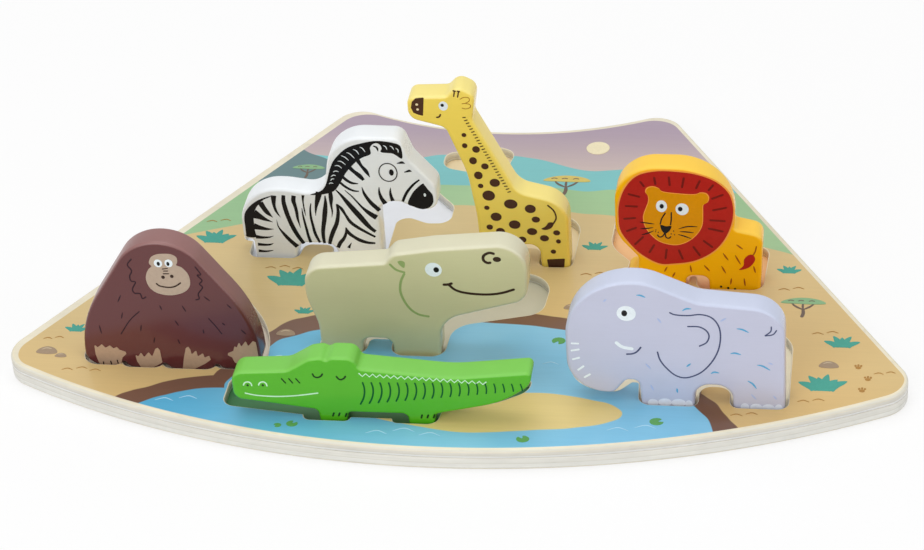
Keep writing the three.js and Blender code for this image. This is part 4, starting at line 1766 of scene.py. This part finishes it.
@dataclass(frozen=True)
class Board:
    """The two glued boards: a plain base, and a printed tray with a recess for every animal."""

    front_arc: float = 400.0
    back_arc: float = 153.73
    half_angle: float = math.radians(30)
    front_corner: float = 15.0
    back_corner: float = 13.0
    base_thickness: float = 6.4
    tray_thickness: float = 4.3
    edge_round: float = 1.6
    joint_ease: float = 0.14
    recess_ease: float = 0.4
    rim_collar: float = 2.2
    recess_collar: float = 0.7
    clearance: float = 1.2

    @property
    def top(self) -> float:
        """Height of the printed face."""
        return self.base_thickness + self.tray_thickness

    @cached_property
    def shift(self) -> float:
        """How far the arcs' centre lies behind the middle of the shared frame."""
        return self.front_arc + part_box("base_board")[0].y / MM

    def space(self, point: Vector, height: float) -> Vector:
        """A point of the plan at a height, in the shared frame."""
        return Vector((point.x, point.y + self.shift, height)) * MM

    def outline(self) -> list[Vector]:
        """Draws the plan of both boards.

        Returns:
            Its points, counter-clockwise from the front left corner.
        """
        down, quarter = -math.pi / 2, math.pi / 2
        left, right = down - self.half_angle, down + self.half_angle
        front, back = self.front_arc - self.front_corner, self.back_arc + self.back_corner
        front_turn, back_turn = math.asin(self.front_corner / front), math.asin(self.back_corner / back)
        fine, coarse = math.radians(0.6), math.radians(4)

        def hub(radius: float, angle: float) -> Vector:
            """Centre of a corner's rounding."""
            return Vector((radius * math.cos(angle), radius * math.sin(angle)))

        fl, fr, bl, br = left + front_turn, right - front_turn, left + back_turn, right - back_turn
        middle = Vector((0.0, 0.0))
        return without_repeats(
            arc(middle, self.front_arc, fl, fr - fl, fine)
            + arc(hub(front, fr), self.front_corner, fr, right + quarter - fr, coarse)
            + arc(hub(back, br), self.back_corner, right + quarter, br + math.pi - (right + quarter), coarse)
            + arc(middle, self.back_arc, br, bl - br, fine * 2)
            + arc(hub(back, bl), self.back_corner, bl + math.pi, left + 3 * quarter - (bl + math.pi), coarse)
            + arc(hub(front, fl), self.front_corner, left - quarter, fl - (left - quarter), coarse)
        )

    def build_base(self, finish: Material) -> None:
        """Makes the plain base board.

        Args:
            finish: its material.
        """
        mesh = bmesh.new()
        ring = add_ring(mesh, [self.space(p, 0.0) for p in self.outline()])
        bmesh.ops.contextual_create(mesh, geom=ring)
        lift_faces(mesh, list(mesh.faces), Vector((0, 0, self.base_thickness * MM)))
        flat = [e for e in mesh.edges if abs(e.verts[0].co.z - e.verts[1].co.z) < SAME_LEVEL]
        lower = [e for e in flat if e.verts[0].co.z < SAME_LEVEL]
        upper = [e for e in flat if e.verts[0].co.z > SAME_LEVEL]
        round_edges(mesh, upper, self.joint_ease * MM, steps=1)
        round_edges(mesh, lower, self.edge_round * MM)
        self.close(mesh, "base_board", finish)

    def build_tray(self, recesses: list[list[Vector]], finish: Material, face: Material) -> None:
        """Makes the tray: its printed face with the recesses, and their walls.

        Args:
            recesses: the outline of each recess.
            finish: material of the edges and walls.
            face: material of the printed face.
        """
        mesh = bmesh.new()
        rims, tops, bottoms = [], [], []
        for ring, inset in [(self.outline(), self.rim_collar)] + [(r, -self.recess_collar) for r in recesses]:
            lip = add_ring(mesh, [self.space(p, self.top) for p in ring])
            top = add_ring(mesh, [self.space(p, self.top) for p in moved_in(ring, inset)])
            bottom = add_ring(mesh, [self.space(p, self.base_thickness) for p in ring])
            bmesh.ops.bridge_loops(mesh, edges=lip + top)
            bmesh.ops.bridge_loops(mesh, edges=lip + bottom)
            rims.append(lip)
            tops += top
            bottoms += bottom
        bmesh.ops.triangle_fill(mesh, use_beauty=True, edges=tops, normal=(0, 0, 1))
        bmesh.ops.triangle_fill(mesh, use_beauty=True, edges=bottoms, normal=(0, 0, -1))
        bmesh.ops.recalc_face_normals(mesh, faces=mesh.faces)
        round_edges(mesh, rims[0], self.edge_round * MM)
        round_edges(mesh, sum(rims[1:], []), self.recess_ease * MM, steps=3)
        tray = self.close(mesh, "tray_board", finish)
        tray.data.materials.append(face)
        for polygon in tray.data.polygons:
            if polygon.normal.z > SQUARE_ON:
                polygon.material_index = 1

    def print_motifs(self) -> None:
        """Prints the grass, trees, stones and ripples on the tray's face."""
        origin = self.space(Vector((0.0, 0.0)), self.top)
        printer = Printer("board_print", "board", "tray_board", origin, Vector((1, 0, 0)), Vector((0, 1, 0)))
        printer.lay(tuple(shape for motif in MOTIFS for shape in motif.shapes()))

    @staticmethod
    def close(mesh: Mesh, node: str, finish: Material) -> bpy.types.Object:
        """Shades a board and puts it in the place of its node.

        Args:
            mesh: the board.
            node: the node that it stands for.
            finish: its material.

        Returns:
            The piece.
        """
        bmesh.ops.recalc_face_normals(mesh, faces=mesh.faces)
        for part in mesh.faces:
            part.smooth = abs(part.normal.z) < SQUARE_ON
        piece = piece_of(mesh, f"{node}_wood", "board", finish)
        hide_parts(node)
        return piece


@dataclass(frozen=True)
class Animal:
    """A painted animal that stands by its feet in its own recess."""

    name: str
    wall_at: Point
    corners: tuple[Corner, ...]
    paint: Paint
    floor: str
    drawing: Drawing
    leg_room: float = 0.0
    belly_room: float = 0.0
    setback: float = 1.5
    thickness: float = 12.0
    edge_round: float = 1.5
    print_border: float = 0.5
    tint_border: float = 0.5

    @property
    def outline(self) -> Outline:
        """Its rounded outline."""
        return Outline(self.corners)

    def recess(self, board: Board) -> list[Vector]:
        """The outline of its recess in the plan of the board.

        Args:
            board: the board that it is cut in.

        Returns:
            The ring of points.
        """
        grown = self.outline.grown(board.clearance, self.leg_room, self.belly_room, -board.tray_thickness)
        place = Vector(self.wall_at) + Vector((0.0, board.clearance + board.tray_thickness))
        return [p + place for p in grown.ring()]

    def tint(self, board: Board) -> tuple[Point, Point, str]:
        """Marks the floor of its recess.

        Args:
            board: the board that it is cut in.

        Returns:
            Two corners of the box round the recess in the shared frame, and the colour of the floor there.
        """
        ring = self.recess(board)
        across, deep, more = [p.x for p in ring], [p.y + board.shift for p in ring], self.tint_border
        return (min(across) - more, min(deep) - more), (max(across) + more, max(deep) + more), self.floor

    def origin(self, board: Board) -> Vector:
        """Where the zero of its drawing lies on its front face, in the shared frame."""
        x, y = self.wall_at
        return board.space(Vector((x + self.leg_room, y + self.setback)), board.top)

    def build(self, board: Board) -> None:
        """Makes the painted wood and lays its print on the front.

        Args:
            board: the board that it stands on.
        """
        mesh = bmesh.new()
        origin = self.origin(board)
        ring = [origin + Vector((p.x, 0.0, p.y)) * MM for p in self.outline.ring()]
        bmesh.ops.contextual_create(mesh, geom=add_ring(mesh, ring))
        lift_faces(mesh, list(mesh.faces), Vector((0, self.thickness * MM, 0)))
        rims = [e for e in mesh.edges if abs(e.verts[0].co.y - e.verts[1].co.y) < SAME_LEVEL]
        round_edges(mesh, rims, self.edge_round * MM)
        bmesh.ops.recalc_face_normals(mesh, faces=mesh.faces)
        front = [f for f in mesh.faces if f.normal.y < -SQUARE_ON and len(f.verts) > 4]
        bmesh.ops.inset_region(mesh, faces=front, thickness=self.print_border * MM, use_even_offset=True)
        mesh.normal_update()
        # How far each point faces up, which the paint shows as painted light from above; the printed front
        # gets none.
        upward = mesh.verts.layers.float.new(LOOKS_UP)
        for vert in mesh.verts:
            vert[upward] = max(vert.normal.z, 0.0)
        for face in front:
            for vert in face.verts:
                vert[upward] = 0.0
        for face in mesh.faces:
            face.smooth = abs(face.normal.y) < SQUARE_ON
        piece = piece_of(mesh, f"{self.name}_wood", self.name, self.paint.material())
        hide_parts(self.name)
        across, up = Vector((1, 0, 0)), Vector((0, 0, 1))
        Printer(f"{self.name}_print", self.name, self.name, origin, across, up).lay(self.drawing)


@dataclass(frozen=True)
class Studio:
    """The camera, the soft lights and the white floor."""

    yaw: float = 0.18561
    pitch: float = 0.60487
    roll: float = -0.07627
    place: Corner = (191.69, -1316.66, 743.54)
    focal_pixels: float = 2883.5
    picture_width: float = 924.0
    sensor: float = 36.0
    view_depth: float = 20.0
    even_light: float = 0.44
    mirrored_light: float = 0.7
    floor_size: float = 6.0
    floor_gap: float = 0.0002
    floor_white: float = 0.93
    floor_glow: float = 0.75

    def camera(self, board: Board) -> None:
        """Sets the camera where the photograph was taken from.

        Args:
            board: gives the place of the arcs' centre in the shared frame.
        """
        turn, tilt = Matrix.Rotation(-self.yaw, 3, "Z"), Matrix.Rotation(self.pitch, 3, "X")
        right, ahead, up = Matrix.Rotation(self.roll, 3, "Y") @ tilt @ turn
        data = bpy.data.cameras.new("camera")
        data.sensor_fit = "HORIZONTAL"
        data.sensor_width = self.sensor
        data.lens = self.focal_pixels / self.picture_width * self.sensor
        data.clip_end = self.view_depth
        camera = bpy.data.objects.new("camera", data)
        axes = Matrix((right, up, -ahead)).transposed().to_4x4()
        x, y, z = self.place
        spot = board.space(Vector((x, y)), z)
        camera.matrix_world = Matrix.Translation(spot) @ axes
        bpy.context.scene.collection.objects.link(camera)
        bpy.context.scene.camera = camera

    @staticmethod
    def lamp(name: str, spot: Corner, aim: Corner, size: float, power: float) -> None:
        """Hangs one soft square light.

        Args:
            name: its name.
            spot: where it hangs, in metres.
            aim: the point that it faces.
            size: length of its sides.
            power: its power in watts.
        """
        data = bpy.data.lights.new(name, "AREA")
        data.size = size
        data.energy = power
        lamp = bpy.data.objects.new(name, data)
        lamp.location = spot
        lamp.rotation_euler = (Vector(aim) - Vector(spot)).to_track_quat("-Z", "Y").to_euler()
        bpy.context.scene.collection.objects.link(lamp)

    def lights(self) -> None:
        """Hangs a broad light overhead, one from the front left and a weak one from the right."""
        self.lamp("overhead", (-0.15, 0.25, 1.7), (0, 0, 0), 1.4, 13.0)
        self.lamp("front", (-0.7, -1.7, 1.1), (0, 0, 0.03), 1.3, 15.5)
        self.lamp("right", (1.5, -0.8, 0.9), (0, 0, 0.03), 1.0, 6.0)

    def surroundings(self) -> None:
        """Fills the room with even light and shows plain white behind the object."""
        world = bpy.data.worlds.new("room")
        bpy.context.scene.world = world
        graph = Graph("room", world)
        even, mirrored, seen = (
            graph.node("ShaderNodeBackground", sockets={"Color": WHITE, "Strength": strength})
            for strength in (self.even_light, self.mirrored_light, 1.0)
        )
        glossy = graph.node("ShaderNodeLightPath", output="Is Glossy Ray")
        camera = graph.node("ShaderNodeLightPath", output="Is Camera Ray")
        lit = graph.node("ShaderNodeMixShader", sockets={0: glossy, 1: even, 2: mirrored})
        shown = graph.node("ShaderNodeMixShader", sockets={0: camera, 1: lit, 2: seen})
        graph.node("ShaderNodeOutputWorld", sockets={"Surface": shown})

    def floor(self) -> None:
        """Lays a white floor that keeps a soft shadow."""
        mesh = bmesh.new()
        bmesh.ops.create_grid(mesh, x_segments=1, y_segments=1, size=self.floor_size)
        data = bpy.data.meshes.new("floor")
        mesh.to_mesh(data)
        mesh.free()
        graph = Graph("white_floor")
        white = (self.floor_white, self.floor_white, self.floor_white, 1)
        lit = graph.node("ShaderNodeBsdfDiffuse", sockets={"Color": white})
        glow = graph.node("ShaderNodeEmission", sockets={"Color": WHITE, "Strength": 1.0})
        glossy = graph.node("ShaderNodeLightPath", output="Is Glossy Ray")
        camera = graph.node("ShaderNodeLightPath", output="Is Camera Ray")
        seen = camera.most(glossy) * self.floor_glow
        shown = graph.node("ShaderNodeMixShader", sockets={0: seen, 1: lit, 2: glow})
        graph.node("ShaderNodeOutputMaterial", sockets={"Surface": shown})
        data.materials.append(graph.material)
        floor = bpy.data.objects.new("floor", data)
        floor.location.z = -self.floor_gap
        bpy.context.scene.collection.objects.link(floor)


# Heights of the soles, of the notches between them and of the ape's hands, from the tray's face.
FOOT = -Board.tray_thickness
NOTCH = -0.3
HAND = -3.3

ANIMALS: tuple[Animal, ...] = (
    Animal(
        "ape",
        (-119.0, -351.0),
        (
            (-40.2, HAND, 7), (-25.6, HAND, 6), (-23.4, NOTCH, 1.6), (-21.2, FOOT, 6), (-7.6, FOOT, 6),
            (-5.3, NOTCH, 1.6), (-3, FOOT, 6), (15.8, FOOT, 6), (18.1, NOTCH, 1.6), (20.4, HAND, 6),
            (38, HAND, 7), (38, 21.9, 58), (-2, 78.6, 20.7), (-40.2, 19.7, 58),
        ),
        Paint("ape", "926966", "5f2c2c"),
        "e6dccb",
        APE_PRINT,
        setback=4.3,
    ),
    Animal(
        "crocodile",
        (-28.0, -383.2),
        (
            (-26.8, FOOT, 3.6), (-15.6, FOOT, 3.6), (-14.9, 3, 2.5), (10.4, 3.2, 2.5), (11, FOOT, 3.6),
            (21.4, FOOT, 3.6), (22.4, 3.6, 2.5), (50, 10.5, 40), (63.4, 20.2, 8), (63.4, 27.1, 2.2),
            (30, 22.8, 60), (-8.4, 26, 2.5), (-10.8, 31.2, 4.4), (-19.6, 31.2, 3.6), (-22, 29.7, 1.6),
            (-24.4, 31, 3.6), (-29.4, 30, 6), (-39, 23.7, 8), (-63.2, 21.9, 5.5), (-63.2, 8.1, 4.5),
            (-27.6, 3.7, 2.5),
        ),
        Paint("crocodile", "7cc954", "52b01c", 0.3, 0.06),
        # Dark green: the crocodile's green tint with painted shade in it, since its floor lies in shade under
        # the crocodile.
        "3f7a4e",
        CROCODILE_PRINT,
        leg_room=6.0,
        belly_room=4.5,
    ),
    Animal(
        "elephant",
        (100.0, -364.5),
        (
            (-15.2, FOOT, 4), (6.6, FOOT, 2.5), (7, 9.7, 6.5), (22.4, 9.7, 7), (22.8, FOOT, 2.5),
            (44.2, FOOT, 3.5), (44, 48.3, 14), (8.5, 51.2, 15), (-12.5, 60.6, 22), (-46.2, 60.4, 28),
            (-46.2, 4.1, 16.5), (-26.8, 4.1, 4), (-21.5, 11, 3), (-16.3, 11, 3),
        ),
        Paint("elephant", "c9d0e5", "c0c2d6"),
        "f4edd3",
        ELEPHANT_PRINT,
    ),
    Animal(
        "hippo",
        (-13.0, -336.0),
        (
            (-43.8, FOOT, 4), (-26.2, FOOT, 4), (-25.2, 7.1, 4), (-12.6, 7.1, 4), (-11.8, FOOT, 4.5),
            (8.4, FOOT, 5), (9.2, 17.8, 13), (47.2, 29.4, 8), (49, 58.7, 12.5), (8, 54.4, 20),
            (-9, 51.3, 6), (-12.6, 46.8, 3), (-48, 43.2, 9), (-48.4, 27.7, 30), (-44, 13.7, 25),
        ),
        Paint("hippo", "dbd8bc", "cfc99f"),
        "cdcab5",
        HIPPO_PRINT,
    ),
    Animal(
        "giraffe",
        (15.0, -266.4),
        (
            (-11, FOOT, 3), (1.6, FOOT, 3), (2, 10.3, 5.5), (15.3, 10.3, 5), (15.7, FOOT, 3),
            (28.4, FOOT, 3), (28.8, 32.7, 13), (6.6, 38.3, 10), (-11.2, 75.5, 4), (-9.3, 88, 5),
            (-17.2, 92.2, 4.5), (-22, 87.1, 3.5), (-39.4, 86.3, 4), (-39.4, 75.3, 5.5), (-23.4, 70.9, 5),
            (-15.2, 47.7, 40), (-12.2, 25.7, 40),
        ),
        Paint("giraffe", "f6e488", "f8db5e"),
        "ecd9b0",
        GIRAFFE_PRINT,
    ),
    Animal(
        "zebra",
        (-62.0, -265.2),
        (
            (-40.2, FOOT, 3.5), (-21.8, FOOT, 3), (-20.6, 7.2, 5.5), (-2.6, 7.2, 5.5), (-1.6, FOOT, 3),
            (18, FOOT, 3.5), (18.2, 30.7, 7), (28.5, 30.7, 6), (36.5, 26.8, 6), (45.4, 27.3, 5),
            (45.3, 39.7, 6), (34.6, 52.7, 10), (30.8, 64, 5.5), (-0.8, 64.4, 17.5), (-6, 33.5, 9),
            (-24, 36, 30), (-45.2, 35.9, 18), (-45.2, 8.9, 2.2), (-40.6, 8.3, 2),
        ),
        Paint("zebra", "eef2f5", "f1f4f5"),
        "eef1f8",
        ZEBRA_PRINT,
        leg_room=2.0,
    ),
    Animal(
        "lion",
        (93.6, -279.4),
        (
            (-27.2, FOOT, 3.5), (-1.9, FOOT, 3), (-1.6, 5.1, 3.5), (8.4, 5.1, 3.5), (8.9, FOOT, 3),
            (31, FOOT, 4.5), (32.3, 27.4, 5.5), (19.6, 30.3, 2.5), (21.2, 61.6, 25), (-31.6, 61.6, 18.5),
            (-32, 26, 16), (-22.2, 14.3, 3), (-22.4, 7.6, 1.5), (-27.2, 7.4, 4),
        ),
        Paint("lion", "fdcf52", "fcb700", 0.15, 0.04),
        "f2c087",
        LION_PRINT,
        leg_room=4.4,
    ),
)

PLY = BarePly(
    "bare_ply",
    (
        (0.0, "ece6d2"), (0.9, "e8e2cf"), (1.1, "c9c1ad"), (1.4, "e4e3dc"), (3.3, "e2e1da"),
        (3.5, "cfcbc0"), (3.8, "dedcd3"), (5.9, "e1dfd7"), (6.3, "e6e2d6"), (6.42, "b9b09c"),
        (6.6, "f2f2ee"), (7.3, "f4f4f1"), (7.5, "d8d4c9"), (9.0, "dad6cb"), (9.25, "e4dcc4"),
        (9.6, "dfdbce"), (10.3, "e2dece"), (10.6, "ede3c6"), (10.7, "ede5cd"),
    ),
    10.7,
)


def main() -> None:
    """Builds the boards, the animals and the studio in order."""
    logging.basicConfig(level=logging.INFO, format="%(name)s: %(message)s")
    board = Board()
    tints = tuple(animal.tint(board) for animal in ANIMALS)
    board.build_base(RecessFloors(PLY, tints).material())
    recesses = [animal.recess(board) for animal in ANIMALS]
    board.build_tray(recesses, PLY.material(), Savanna(PLY, board).material())
    board.print_motifs()
    for animal in ANIMALS:
        animal.build(board)
    studio = Studio()
    studio.camera(board)
    studio.lights()
    studio.surroundings()
    studio.floor()
    bpy.context.scene.view_settings.view_transform = "Standard"
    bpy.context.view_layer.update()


if __name__ == "__main__":
    main()
